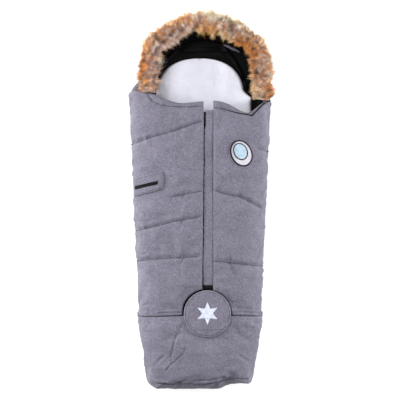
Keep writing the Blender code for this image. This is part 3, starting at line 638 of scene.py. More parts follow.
@dataclass(frozen=True)
class Solid(Finish):
    """Moulded plastic or rubber, lacquered metal or print: one colour with fine grain and duller patches."""

    colour: str = "#808080"
    metallic: float = 0.0
    grain: float = 0.5 * MM
    depth: float = 0.03 * MM
    spread: float = 0.10

    def material(self) -> Coat:
        """The solid finish's material."""
        made, tree, shader, place = self.begin()
        grain = noise(tree, place, 1 / self.grain, Detail=3.0)
        rub = noise(tree, place, 1 / (12 * self.grain), Detail=3.0)
        red, green, blue, _ = linear(self.colour)
        low = [part * (1.0 - self.spread) for part in (red, green, blue)] + [1.0]
        high = [min(1.0, part * (1.0 + 2 * self.spread) + 0.002) for part in (red, green, blue)] + [1.0]
        made_ramp = add_node(tree, "ShaderNodeValToRGB", {0: rub})
        for point, place_at, tone in zip(made_ramp.color_ramp.elements, (0.35, 0.7), (low, high)):
            point.position = place_at
            point.color = tone
        tree.links.new(made_ramp.outputs["Color"], shader.inputs["Base Color"])
        shader.inputs["Metallic"].default_value = self.metallic
        span = {0: rub, 1: 0.3, 2: 0.7, 3: self.roughness * 0.85, 4: min(1.0, self.roughness * 1.2)}
        rough = add_node(tree, "ShaderNodeMapRange", span)
        tree.links.new(rough.outputs[0], shader.inputs["Roughness"])
        self.bump(tree, shader, grain, self.depth)
        return made


def woven(name: str, roughness: float, dark: str, middle: str, light: str, **more: float) -> Coat:
    """A woven cloth's material, from its roughness and its three yarn colours."""
    return Cloth(name, roughness, dark=dark, middle=middle, light=light, **more).material()


@dataclass(frozen=True)
class Finishes:
    """Every finish on the footmuff, made once."""

    melange: Coat
    lining: Coat
    fleece: Coat
    fur: Coat
    tape: Coat
    thread: Coat
    dark_thread: Coat
    teeth: Coat
    metal: Coat
    rubber: Coat
    beads: Coat
    patch_edge: Coat
    patch_ring: Coat
    patch_face: Coat

    @classmethod
    def make(cls) -> Finishes:
        """Builds the materials."""
        sewing = {"fleck": 0.5 * MM, "thread": 0.4 * MM}
        return cls(
            # Polyester woven from flecked yarn: matt, cool grey, with a mottled heather
            # The flecks are drawn about twice as coarse as the yarn, so that they still show in a picture
            melange=woven("melange_polyester", 0.88, "#4B4855", "#696673", "#888694", fleck=1.7 * MM),
            # Downproof nylon lining: near black, with the low gloss of tight plain weave
            lining=woven(
                "black_nylon_lining", 0.36, "#010102", "#020204", "#05050A",
                gloss=0.07, thread=0.7 * MM, weave_depth=0.05 * MM, sheen=0.02,
            ),
            # Polar fleece: knitted and brushed, so it has no gloss at all
            fleece=Pile("brushed_fleece", 0.95, base="#DBDCE7", hollow="#CFD1DE").material(),
            fur=Strands("acrylic_fur", 0.62).material(),
            # Woven zip tape, in herringbone finer than shows
            tape=woven("woven_tape", 0.8, "#121216", "#1B1B20", "#26262C", fleck=0.8 * MM, sheen=0.03),
            # Spun polyester sewing thread
            thread=woven("grey_thread", 0.7, "#4B4854", "#5F5C68", "#75727E", **sewing),
            # The near-black thread is painted shadow: its stitches stand in for the shadowed slit along each
            # seam
            dark_thread=woven("dark_thread", 0.7, "#16151A", "#201F26", "#2C2B33", sheen=0.03, **sewing),
            # Injection-moulded acetal teeth
            teeth=Solid("moulded_acetal", 0.42, gloss=0.4, colour="#26252B").material(),
            # Die-cast zinc with black lacquer that wears to grey
            metal=Solid("lacquered_zinc", 0.38, colour="#3B3A40", metallic=0.85, spread=0.25).material(),
            rubber=Solid("moulded_rubber", 0.7, gloss=0.1, colour="#08080A", grain=0.4 * MM).material(),
            # Print with glass beads in it: pale, silvery, slightly glossy
            beads=Solid(
                "glass_bead_print", 0.45, colour="#BFC4D2", metallic=0.15, grain=0.6 * MM, depth=0.05 * MM
            ).material(),
            # Embroidered and felted patch
            patch_edge=woven(
                "overlock_edge", 0.75, "#0A0A0D", "#121217", "#1D1D23",
                fleck=0.7 * MM, thread=0.6 * MM, sheen=0.02,
            ),
            patch_ring=woven("grey_twill_patch", 0.85, "#A8A4AC", "#BFBBC3", "#D2CFD6", thread=0.9 * MM),
            patch_face=woven("pale_blue_satin_stitch", 0.6, "#7C94A4", "#A3B8C6", "#CAD7E0", thread=0.8 * MM),
        )


# The bag's form


@dataclass(frozen=True)
class Trace:
    """A line in plan that a seam, a fold or a row of stitches follows, through given points."""

    points: tuple[tuple[float, float], ...]

    def measured(self, x: Points, y: Points) -> tuple[Points, Points]:
        """The distance from the trace, and how far along it the nearest point lies, both in metres."""
        best = np.full(np.shape(x), np.inf)
        along = np.zeros(np.shape(x))
        done = 0.0
        for start, end in zip(self.points, self.points[1:]):
            run = np.subtract(end, start)
            length = math.hypot(*run)
            share = np.clip(((x - start[0]) * run[0] + (y - start[1]) * run[1]) / length**2, 0.0, 1.0)
            away = np.hypot(x - start[0] - share * run[0], y - start[1] - share * run[1])
            along = np.where(away < best, done + share * length, along)
            best = np.minimum(best, away)
            done += length
        return best, along

    def length(self) -> float:
        """The trace's length."""
        return float(np.linalg.norm(np.diff(self.points, axis=0), axis=1).sum())

    def walk(self, step: float) -> Points:
        """Points in plan, evenly spaced along the trace, its corners eased by averaging neighbours."""
        run = way_along(np.array(self.points))
        at = np.linspace(0.0, run[-1], max(3, int(run[-1] / step) + 1))
        return eased(read_along(at, run, np.array(self.points)), 6)


@dataclass(frozen=True)
class Seam:
    """A sewn channel or a crease: how deep it sinks, how wide it is, and how it dies away at its ends."""

    trace: Trace
    depth: float = 8 * MM
    width: float = 8 * MM
    fade: float = 14 * MM

    def strength(self, x: Points, y: Points) -> tuple[Points, Points, Points]:
        """The share of full depth, the distance and the way along, at each place in plan."""
        away, along = self.trace.measured(x, y)
        total = self.trace.length()
        first = smooth(0.0, self.fade, along + self.fade / 2)
        last = smooth(0.0, self.fade, total - along + self.fade / 2)
        return bell(away, self.width) * (first * last), away, along


@dataclass(frozen=True)
class BagForm:
    """The bag's outline and cross-sections, which every piece follows."""

    toe_y: float = -536 * MM
    cross_y: float = -320 * MM
    neck_y: float = 298 * MM
    head_y: float = 470 * MM
    shoulder_half: float = 202 * MM
    knee_half: float = 174.5 * MM
    foot_half: float = 180 * MM
    toe_half: float = 147 * MM
    head_half: float = 176 * MM
    toe_corner: float = 34 * MM
    square_corner: float = 13 * MM
    seam_z: float = 45 * MM
    head_seam_z: float = 24.6 * MM
    crown_z: float = 116 * MM
    seam_gap: float = 0.4 * MM
    zip_x: float = 13 * MM
    cover_x: float = 21 * MM
    cover_y: float = -322 * MM
    cover_radius: float = 67 * MM
    squareness: float = 2.9

    def side_seam(self, y: Points) -> Points:
        """Half the width at the side seams, a straight line from the knees to the shoulders."""
        return mix(self.knee_half, self.shoulder_half, (y - self.cross_y) / (self.neck_y - self.cross_y))

    def foot_width(self, y: Points, corner: float) -> Points:
        """Half the width of the foot end, drawn in by a quarter circle at corners of a given radius."""
        straight = mix(self.toe_half, self.foot_half, (y - self.toe_y) / (self.cross_y - self.toe_y))
        return straight - corner * (1.0 - bow(np.maximum(0.0, 1.0 - (y - self.toe_y) / corner), 2.0))

    def foot_seam(self, y: Points) -> Points:
        """Half the width of the foot end at its seam."""
        return self.foot_width(y, self.toe_corner)

    def cross_gap(self, x: Points) -> Points:
        """The middle of the narrow gap over the cross zips, a little lower at its sides than at the cover."""
        aside = np.clip((np.abs(x - self.cover_x) - self.cover_radius) / (110 * MM), 0.0, 1.0)
        return self.cross_y - 6.5 * MM - 5 * MM * aside

    def toe_skewed(self, grid: Points) -> Points:
        """Squares and lifts the right end of the toes, where the stuffed end lies askew."""
        shifted = grid.copy()
        x, y = grid[..., 0], grid[..., 1]
        ratio = self.foot_width(y, self.square_corner) / np.maximum(self.foot_seam(y), 1 * MM)
        near = (y < self.toe_y + self.toe_corner) * smooth(0.0, 60 * MM, x)
        shifted[..., 0] = x * mix(1.0, ratio, near)
        share = smooth(40 * MM, 78 * MM, x) * (1.0 - smooth(self.toe_y, self.toe_y + 70 * MM, y))
        shifted[..., 1] = y + 13 * MM * share
        return shifted

    def arch(self, angle: Points, half: Points, crown: Points) -> tuple[Points, Points]:
        """A squared arch: x is half times cosine, z the rise times sine, both to 2 over the squareness."""
        x = -half * signed_power(np.cos(angle), 2.0 / self.squareness)
        rise = np.abs(np.sin(angle)) ** (2.0 / self.squareness)
        return x, self.seam_z + self.seam_gap + (crown - self.seam_z) * rise

    def angle_at_x(self, x: Points, half: Points) -> Points:
        """The arch's angle at an x."""
        return np.arccos(signed_power(np.clip(-x / half, -1.0, 1.0), self.squareness / 2.0))

    def front_height(self, x: Points, y: Points) -> Points:
        """The height of the smooth front over a place in plan."""
        half = self.side_seam(y)
        return self.arch(self.angle_at_x(x, half), half, self.crown_z)[1]


@dataclass(frozen=True)
class Neck:
    """One panel's top edge: a slope from the zip to the side, less a bell-shaped dip."""

    side_y: float
    dip: float
    dip_share: float
    outer: float
    centre_y: float = 281 * MM
    inner: float = 0.27

    def at(self, form: BagForm, x: Points) -> Points:
        """The edge's y at each x."""
        share = np.minimum(1.0, np.abs(x - form.zip_x) / form.shoulder_half)
        away = (share - self.dip_share) / np.where(share > self.dip_share, self.outer, self.inner)
        return mix(self.centre_y, self.side_y, share) - self.dip * np.exp(-away * away)


@dataclass(frozen=True)
class Surface:
    """A finished grid that smaller pieces are laid on."""

    grid: Points

    def laid(self, plan: Points, lift: float = 0.0) -> tuple[Points, Points]:
        """Points on the surface over places in plan, and the normals there.

        Each place takes its nearest grid point's tangent plane, and is raised along the normal.

        Args:
            plan: rows of x and y.
            lift: how far above the surface.

        Returns:
            The points and the unit normals.
        """
        spots = self.grid.reshape(-1, 3)
        normals = normals_of(self.grid).reshape(-1, 3)
        gaps = (spots[None, :, 0] - plan[:, None, 0]) ** 2 + (spots[None, :, 1] - plan[:, None, 1]) ** 2
        near = np.argmin(gaps, axis=1)
        spot, normal = spots[near], normals[near]
        steep = np.maximum(normal[:, 2], 0.3)
        z = spot[:, 2] - ((plan - spot[:, :2]) * normal[:, :2]).sum(1) / steep
        return np.column_stack([plan, z]) + normal * lift, normal


@dataclass(frozen=True)
class Stitching:
    """A row of lock stitches: short rounded threads that dip into the cloth at both ends."""

    length: float = 3.4 * MM
    gap: float = 1.2 * MM
    radius: float = 0.42 * MM

    def row(self, path: Points, normals: Points) -> Shape:
        """The stitches along a path.

        Each stitch is a six-sided bar of four rings whose ends narrow and sink.

        Args:
            path: points on the cloth, in order.
            normals: the cloth's normals there.

        Returns:
            The points and faces of all the stitches.
        """
        run = way_along(path)
        starts = np.arange(self.gap, run[-1] - self.length, self.length + self.gap)
        middles = starts + self.length / 2
        at = read_along(middles, run, path)
        along = unit(read_along(middles + self.length / 3, run, path) - at)
        side = unit(np.cross(along, read_along(middles, run, normals)))
        angle = 2 * math.pi * np.arange(6) / 6
        rings = []
        for share, width, sink in ((-0.5, 0.35, -1.3), (-0.3, 1.0, 0.0), (0.3, 1.0, 0.0), (0.5, 0.35, -1.3)):
            place = np.full(6, share * self.length / self.radius)
            rings.append(np.column_stack([np.cos(angle) * width, place, np.sin(angle) * width + sink]))
        template = np.concatenate(rings) * self.radius
        ends = np.array([[3, 2, 1, 0], [5, 4, 3, 0], [18, 19, 20, 21], [18, 21, 22, 23]])
        faces = np.concatenate([grid_faces(4, 6, wrap=True), ends])
        return scattered(template, faces, np.stack([side, along, np.cross(side, along)], 1), at)


# The padded panels


@dataclass(frozen=True)
class Calm:
    """A place that stays smooth because something flat is sewn on it: a middle and a reach in plan."""

    x: float
    y: float
    reach: float

    def at(self, x: Points, y: Points) -> Points:
        """1 inside, falling to 0 over a third more than the reach."""
        return 1.0 - smooth(self.reach, self.reach * 1.35, np.hypot(x - self.x, y - self.y))


def edge_ways(grid: Points) -> tuple[Points, Points, Points, Points]:
    """The distance along the grid from its first and last column, and from its first and last row."""
    across = np.linalg.norm(np.diff(grid, axis=1), axis=-1)
    along = np.linalg.norm(np.diff(grid, axis=0), axis=-1)
    left = np.concatenate([np.zeros((grid.shape[0], 1)), np.cumsum(across, 1)], 1)
    low = np.concatenate([np.zeros((1, grid.shape[1])), np.cumsum(along, 0)], 0)
    return left, left[:, -1:] - left, low, low[-1:] - low


def edge_distance(grid: Points) -> Points:
    """The distance along the grid from its nearest edge."""
    return np.minimum.reduce(edge_ways(grid))


def rolled(edge: Points, reach: float) -> Points:
    """How full a padded piece is near its edge: a quarter circle that rises over the reach, at least 0.12."""
    return np.maximum(bow(1.0 - np.clip(edge / reach, 0.0, 1.0), 2.0), 0.12)


def resampled(field_at: Points, rows: tuple[Points, Points], columns: tuple[Points, Points]) -> Points:
    """A field from a coarse grid, read by straight lines at a finer grid's rows and columns, then eased.

    Args:
        field_at: the coarse field, with its values on the last axis.
        rows, columns: the coarse and the fine shares along each axis.

    Returns:
        The fine field.
    """
    wide = np.stack([read_along(columns[1], columns[0], row) for row in field_at])
    full = np.stack([read_along(rows[1], rows[0], wide[:, k]) for k in range(wide.shape[1])], 1)
    for _ in range(3):
        eased(full, 1)
        eased(full.swapaxes(0, 1), 1)
    return full


def gathered(along: Points, away: Points, row: Points | float, ripple: Ripple) -> Points:
    """Puckers that run away from a seam: a ripple read by the way along it and the distance from it."""
    return ripple.at(np.stack(np.broadcast_arrays(along, away, row), -1))


@dataclass(frozen=True)
class PaddedPanel:
    """A quilted panel: two skins of a layer, drawn together at its edges and sewn down along its seams."""

    form: BagForm
    seams: tuple[Seam, ...] = ()
    creases: tuple[Seam, ...] = ()
    calm: tuple[Calm, ...] = ()
    thickness: float = 29 * MM
    cell: float = 3.0 * MM
    coarse: float = 8.0 * MM
    roll: float = 15 * MM
    side_roll: float = 7 * MM
    pucker: float = 1.7 * MM
    wrinkle: float = 1.5 * MM
    hem: float = 9 * MM
    least_loft: float = 0.14
    seed: int = 3
    blowing: Blowing = field(default_factory=Blowing)

    def surface(self, u: Points, v: Points, depth: float) -> Points:
        """The panel's smooth surface: u across and v along, both 0 to 1."""
        raise NotImplementedError

    def edges(self, grid: Points) -> Points:
        """The distance from the nearest edge, with the side seams counted so that they roll tighter."""
        left, right, low, high = edge_ways(grid)
        ratio = self.roll / self.side_roll
        sides = left * self.side_scale(-1, ratio), right * self.side_scale(1, ratio)
        return np.minimum.reduce([*sides, low, high])

    def side_scale(self, side: int, ratio: float) -> float:
        """How the distance from one side is scaled: by the ratio where that side is a side seam."""
        return ratio

    def zip_ways(self, grid: Points) -> Points:
        """The distance from the nearest edge that lies over a zip."""
        raise NotImplementedError

    def skins(self, u: Points, v: Points) -> tuple[Points, Points, Points]:
        """The sewn but unblown outer and inner grids, and the distance from the edges."""
        across, along = np.meshgrid(u, v)
        outer = self.surface(across, along, 0.0)
        inner = self.surface(across, along, self.thickness)
        distance = self.edges(outer)
        dent = np.zeros(outer.shape[:2])
        for sewn in self.seams:
            share, _, _ = sewn.strength(outer[..., 0], outer[..., 1])
            dent = np.maximum(dent, share * sewn.depth)
        dent = dent * smooth(0.0, self.roll, distance)
        outer = outer - normals_of(outer) * dent[..., None]
        over_zip = 1.0 - smooth(10 * MM, 26 * MM, self.zip_ways(outer))
        inner = mix(inner, outer - normals_of(outer) * self.hem, over_zip[..., None])
        keep = bow(1.0 - np.clip(distance / self.roll, 0.0, 1.0), 2)
        keep = np.maximum(keep, self.least_loft)[..., None]
        middle = (outer + inner) / 2
        return middle + (outer - middle) * keep, middle + (inner - middle) * keep, distance

    def held(self, outer: Points, distance: Points) -> Points:
        """Where the cloth is sewn down: at the edges, on the seams and under what is sewn on."""
        x, y = outer[..., 0], outer[..., 1]
        held = 1.0 - smooth(4 * MM, 14 * MM, distance)
        for sewn in self.seams:
            share, _, _ = sewn.strength(x, y)
            held = np.maximum(held, smooth(0.25, 0.75, share))
        for place in self.calm:
            held = np.maximum(held, place.at(x, y))
        return held

    def blown(self, u: Points, v: Points) -> Points:
        """How far the outer skin moves when the padding is blown up, at the given shares."""
        coarse_u, coarse_v = (np.linspace(0.0, 1.0, int(size / self.coarse) + 2) for size in self.lengths())
        outer, inner, distance = self.skins(coarse_u, coarse_v)
        points, faces = thick_sheet(outer, inner)
        held = np.concatenate([self.held(outer, distance).ravel(), np.ones(len(points) // 2)])
        moved = self.blowing.blow("blown_panel", points, faces, held)
        shift = (moved - points)[: outer[..., 0].size].reshape(outer.shape)
        return resampled(shift, (coarse_v, v), (coarse_u, u))

    def lengths(self) -> list[float]:
        """The lengths across and along the middle of the panel."""
        run = np.linspace(0.0, 1.0, 60)
        lines = self.surface(run, run * 0 + 0.5, 0.0), self.surface(run * 0 + 0.5, run, 0.0)
        return [np.linalg.norm(np.diff(line, axis=0), axis=1).sum() for line in lines]

    def built(self) -> tuple[Points, Points]:
        """The finished outer and inner grids."""
        u, v = (spaced(int(size / self.cell), size, 10 * MM) for size in self.lengths())
        outer, inner, distance = self.skins(u, v)
        outer = outer + self.blown(u, v)
        return self.worked(outer, distance), inner

    def worked(self, outer: Points, distance: Points) -> Points:
        """Lays puckers, creases and wrinkles on the blown skin."""
        x, y = outer[..., 0], outer[..., 1]
        loose = np.ones(x.shape)
        for place in self.calm:
            loose = loose * (1.0 - place.at(x, y))
        lift = np.zeros(x.shape)
        for number, sewn in enumerate(self.seams):
            _, away, along = sewn.strength(x, y)
            gathers = gathered(along, away * 0.30, number * 0.1, Ripple(8.5 * MM, self.seed + number))
            lift = lift + self.pucker * gathers * bell(away - 9 * MM, 12 * MM)
        left, right, low, high = edge_ways(outer)
        for number, (away, along) in enumerate(((left, low), (right, low), (low, left), (high, left))):
            ripple = Ripple(10 * MM, self.seed + 20 + number)
            gathers = gathered(along, away * 0.30, 0.5 + number * 0.1, ripple)
            lift = lift + 1.1 * self.pucker * gathers * bell(away - 11 * MM, 12 * MM)
        for crease in self.creases:
            share, away, _ = crease.strength(x, y)
            lip = bell(away - 1.9 * crease.width, crease.width)
            ends = share / np.maximum(bell(away, crease.width), 1e-6)
            lift = lift + crease.depth * (0.4 * lip * np.clip(ends, 0.0, 1.0) - share)
        flat = np.stack([x * 0.45, y, outer[..., 2] * 0.5], -1)
        ridged = 1.0 - 2.0 * np.abs(Ripple(21 * MM, self.seed + 40).at(flat))
        lift = lift + self.wrinkle * (0.75 * ridged + 0.5 * Ripple(9 * MM, self.seed + 41).at(flat))
        lift = lift + 1.4 * self.wrinkle * Ripple(46 * MM, self.seed + 42).at(outer)
        lift = lift * loose * smooth(-2 * MM, 9 * MM, distance)
        return outer + normals_of(outer) * lift[..., None]


@dataclass(frozen=True)
class FrontPanel(PaddedPanel):
    """The left (side -1) or right (side 1) front panel: side seam to zip, and knee to neck."""

    side: int = -1
    edge_x: float = 6 * MM
    edge_limit: float = 40 * MM
    slant: float = 0.0
    neck: Neck = Neck(side_y=312 * MM, dip=17.5 * MM, dip_share=0.38, outer=0.26)
    clearance: float = 8 * MM
    crowding: float = 1.4
    bitten: bool = True

    def knee_y(self, x: Points) -> Points:
        """The lower edge, with the round bite under the cover."""
        straight = self.form.cross_gap(x) + 0.9 * MM
        if not self.bitten:
            return straight
        radius = self.form.cover_radius + self.clearance
        away = np.clip(np.abs(x - self.form.cover_x), 0.0, radius)
        bite = self.form.cover_y + np.sqrt(radius**2 - away**2)
        return np.where(away < radius, np.maximum(straight, bite), straight)

    def surface(self, u: Points, v: Points, depth: float) -> Points:
        """Solved in five passes: the arch's angle gives x, and x gives the edges that v runs between."""
        if self.side > 0:
            u = 1.0 - u
        form = self.form
        crowd = u**self.crowding / (u**self.crowding + (1.0 - u) ** self.crowding)
        x = np.full(u.shape, self.edge_x)
        y = mix(form.cross_y, form.neck_y, v)
        z = x
        for _ in range(5):
            half = form.side_seam(y) - depth
            crown = form.crown_z - depth
            start = 0.0 if self.side < 0 else math.pi
            edge_x = np.minimum(self.edge_x + self.slant * (y - 20 * MM), self.edge_limit)
            x, z = form.arch(mix(start, form.angle_at_x(edge_x, half), crowd), half, crown)
            y = mix(self.knee_y(x), self.neck.at(form, x), v)
        return np.stack([x, y, z], -1)

    def side_scale(self, side: int, ratio: float) -> float:
        """Only the outer side is a side seam; the zip edge rolls as the knee and neck do."""
        return ratio if side == self.side else 1.0

    def zip_ways(self, grid: Points) -> Points:
        """The knee edge lies over the foot zip, and the inner side over the centre one."""
        left, right, low, _ = edge_ways(grid)
        return np.minimum(right if self.side < 0 else left, low)


@dataclass(frozen=True)
class FootPanel(PaddedPanel):
    """The foot panel, from side seam to side seam and from the toe seam up to the cross zip."""

    toe_curve: float = 52 * MM
    toe_power: float = 0.74
    end_share: float = 0.30

    def surface(self, u: Points, v: Points, depth: float) -> Points:
        """The first rows rise round the toes on a squared quarter ellipse, and the rest run straight."""
        form = self.form
        height = form.crown_z - form.seam_z - depth
        angle = np.minimum(v / self.end_share, 1.0) * math.pi / 2
        start = form.toe_y + depth
        curved = start + self.toe_curve * (1.0 - np.cos(angle) ** self.toe_power)
        x = 0.0 * u
        for _ in range(3):
            top = form.cross_gap(x) - 0.9 * MM
            straight = mix(start + self.toe_curve, top, (v - self.end_share) / (1.0 - self.end_share))
            y = np.where(v < self.end_share, curved, straight)
            x, z = form.arch(u * math.pi, form.foot_seam(y) - depth, form.seam_z + height)
        lid = form.seam_z + form.seam_gap + height * np.sin(angle) ** self.toe_power
        return form.toe_skewed(np.stack([x, y, np.minimum(z, lid)], -1))

    def zip_ways(self, grid: Points) -> Points:
        """Only the upper edge lies over a zip."""
        return edge_ways(grid)[3]


# The back of the bag


@dataclass(frozen=True)
class Slot:
    """An opening in the back for the harness: its middle and half-lengths, and a round at its corners."""

    name: str
    x: float
    y: float
    half_x: float
    half_y: float
    corner: float = 4 * MM

    def loop(self, grow: float, count: int = 12) -> Points:
        """The opening's outline in plan, grown on every side, with quarter-circle corners."""
        corner = self.corner + grow
        reach = np.array([self.half_x + grow - corner, self.half_y + grow - corner])
        angle = np.linspace(0.0, math.pi / 2, count)
        arcs = []
        for number, (sign_x, sign_y) in enumerate(((1, 1), (-1, 1), (-1, -1), (1, -1))):
            turned = angle + number * math.pi / 2
            middle = reach * (sign_x, sign_y)
            arcs.append(middle + corner * np.stack([np.cos(turned), np.sin(turned)], -1))
        return np.concatenate(arcs) + (self.x, self.y)


@dataclass(frozen=True)
class BackBag:
    """The padded back: a tray whose sides and toe end rise to the seam, its lining and its fleece."""

    form: BagForm
    finishes: Finishes
    slots: tuple[Slot, ...]
    folds: tuple[Seam, ...] = ()
    thickness: float = 21 * MM
    lining_top: float = 24 * MM
    lining: float = 2 * MM
    squareness: float = 7.0
    head_squareness: float = 2.3
    flat_share: float = 1.06
    head_curve: float = 14 * MM
    toe_curve: float = 30 * MM
    step: float = 12 * MM
    end_slope: float = 0.01
    head_ramp: float = 25 * MM
    slot_play: float = 1.8 * MM
    cut_span: Span = (-20 * MM, 90 * MM)
    shell_grid: tuple[int, int] = (260, 130)
    lining_grid: tuple[int, int] = (200, 100)
    quilted_at: tuple[float, ...] = (-430 * MM, -250 * MM, -60 * MM, 110 * MM, 270 * MM)

    def rows(self, count: int) -> tuple[Points, Points, Points, Points]:
        """Each row's y, its half-width, its seam height and how flat it has become, for about count rows."""
        form = self.form
        toe = np.sin(np.linspace(0.0, math.pi / 2, count // 8)[:-1])
        toe_y = form.toe_y + self.toe_curve * (1.0 - np.sqrt(1.0 - toe**2))
        body_y = np.linspace(form.toe_y + self.toe_curve, form.neck_y - self.step, count // 2)
        up = np.sin(np.linspace(0.02, 1.0, count // 3) * math.pi / 2) ** (2.0 / self.head_squareness)
        head_y = form.neck_y + (form.head_y - form.neck_y) * up
        y = np.concatenate([toe_y, body_y, head_y])
        foot = y < form.cross_y
        head = y > form.neck_y - self.step / 2
        share = np.clip((y - form.neck_y) / (form.head_y - form.neck_y), 0.0, 1.0)
        side = mix(form.shoulder_half, form.head_half, smooth(0.0, 0.35, share))
        head_half = side * np.maximum(0.04, 1.0 - share**self.head_squareness) ** (1.0 / self.head_squareness)
        half = np.where(foot, form.foot_seam(y), np.where(head, head_half, form.side_seam(y)))
        seam_z = np.where(head, form.head_seam_z, form.seam_z)
        ends = np.minimum((y - form.toe_y) / self.toe_curve, (form.head_y - y) / self.head_curve)
        flat = bow(np.clip(1.0 - ends, 0.0, 1.0), 2.0)
        return y, half, seam_z, flat

    def skin(self, depth: float, rows: int, columns: int, tuck: float = 0.0) -> Points:
        """The tray at a depth under its outside, as rows along and columns across.

        The head end stops a depth short of the outside, less the tuck; the rows beyond that
        stand close together on a slight slope, so that no face is without area.
        """
        y, half, seam_z, flat = (part[:, None] for part in self.rows(rows))
        form = self.form
        angle = np.linspace(0.0, math.pi, columns)[None]
        angle = mix(angle, math.pi * smooth(0.0, math.pi, angle), 0.35)
        drop = seam_z * self.flat_share - depth
        head = smooth(form.neck_y, form.neck_y + self.head_ramp, y)
        x = -(half - depth + tuck * head) * signed_power(np.cos(angle), 2.0 / self.squareness)
        side = np.abs(np.sin(angle)) ** (2.0 / self.squareness)
        z = np.maximum(depth, seam_z - drop * np.minimum(side, flat))
        y = mix(np.clip(y, form.toe_y + depth, form.head_y - depth + tuck), y, self.end_slope)
        return form.toe_skewed(np.stack([x, np.broadcast_to(y, x.shape), z], -1))

    def cut(self, piece: Piece) -> None:
        """Cuts the harness slots through a piece, a little wider than they are inside their bindings."""
        outward(piece, flat_faces=True)
        for slot in self.slots:
            loop = slot.loop(self.slot_play)
            count = len(loop)
            points = np.concatenate([np.column_stack([loop, np.full(count, z)]) for z in self.cut_span])
            around = np.arange(count)
            faces = join_faces(around, around + count).tolist()
            faces += [list(reversed(range(count))), list(range(count, 2 * count))]
            cutter = add_object(f"cut_{slot.name}", points, faces)
            hole = piece.modifiers.new(slot.name, "BOOLEAN")
            hole.operation = "DIFFERENCE"
            hole.solver = "EXACT"
            hole.object = cutter
            finish_modifiers(piece)
            bpy.data.objects.remove(cutter, do_unlink=True)
        outward(piece)
        piece.data.shade_smooth()

    def shell(self) -> None:
        """The padded outside, quilted across in five rows and wrinkled a little."""
        outer = self.skin(0.0, *self.shell_grid)
        inner = self.skin(self.thickness, *self.shell_grid)
        x, y = outer[..., 0], outer[..., 1]
        flat = smooth(0.0, 16 * MM, outer[..., 2])
        edge = edge_distance(outer)
        lift = -2.5 * MM * (1.0 - smooth(0.0, 7 * MM, edge))
        for place in self.quilted_at:
            away = y - place
            lift = lift - 1.4 * MM * bell(away, 7 * MM)
            gathers = gathered(x, away * 0.3, place, Ripple(11 * MM, 70))
            lift = lift + 0.8 * MM * flat * gathers * bell(np.abs(away) - 12 * MM, 12 * MM)
        gathers = gathered(y, edge * 0.3, 0.0, Ripple(10 * MM, 71))
        lift = lift + 1.3 * MM * gathers * bell(edge - 9 * MM, 9 * MM)
        lift = lift + flat * 1.0 * MM * Ripple(26 * MM, 72).at(outer)
        outer = outer - normals_of(outer) * np.minimum(lift, 0.9 * MM)[..., None]
        outer[..., 2] = np.maximum(outer[..., 2], 0.0)
        shell = add_piece("padded_back", *thick_sheet(inner, outer), self.finishes.melange)
        self.cut(shell)
        set_out(shell, "back", "grey_melange", "back_shell", "back_wadding")

    def lining_sheet(self) -> None:
        """The black lining over the inside of the back."""
        upper = self.skin(self.lining_top, *self.lining_grid, tuck=12 * MM)
        lower = self.skin(self.lining_top - self.lining, *self.lining_grid, tuck=10 * MM)
        lift = 0.5 * MM * Ripple(14 * MM, 74).at(upper)
        upper = upper + normals_of(upper) * np.minimum(lift, 0.0)[..., None]
        head = smooth(self.form.neck_y, self.form.neck_y + self.head_ramp, upper[..., 1])
        upper[..., 2] = np.maximum(upper[..., 2], head * (self.form.head_seam_z + 0.4 * MM))
        lower[..., 2] = np.maximum(lower[..., 2], head * (self.form.head_seam_z + 0.1 * MM))
        for fold in self.folds:
            share, _, _ = fold.strength(upper[..., 0], upper[..., 1])
            raised = fold.depth * share
            upper[..., 2] += raised
            lower[..., 2] += raised
        sheet = add_piece("back_lining_cloth", *thick_sheet(upper, lower), self.finishes.lining)
        self.cut(sheet)
        set_out(sheet, "back", "black_lining", "back_lining")

    def bindings(self) -> None:
        """A folded tape round each slot, from the outside of the back up to the fleece."""
        profile = ((0.1, 0), (1.3, 0), (1.6, 2), (1.6, 31.5), (1.3, 33.7), (0.1, 33.7), (0.0, 31.5), (0.0, 2))
        for slot in self.slots:
            loops = []
            for grow, z in profile:
                loop = slot.loop(grow * MM)
                loops.append(np.column_stack([loop, np.full(len(loop), 0.8 * MM + z * MM)]))
            rows, sides = len(loop), len(profile)
            faces = grid_faces(rows, sides, wrap=True)
            last = join_faces(np.arange(sides) + (rows - 1) * sides, np.arange(sides))
            ring = np.stack(loops, 1).reshape(-1, 3), np.concatenate([faces, last])
            name = f"slot_binding_{slot.name}"
            add_closed(f"binding_{slot.name}", ring, self.finishes.lining, "back", "black_lining", name)


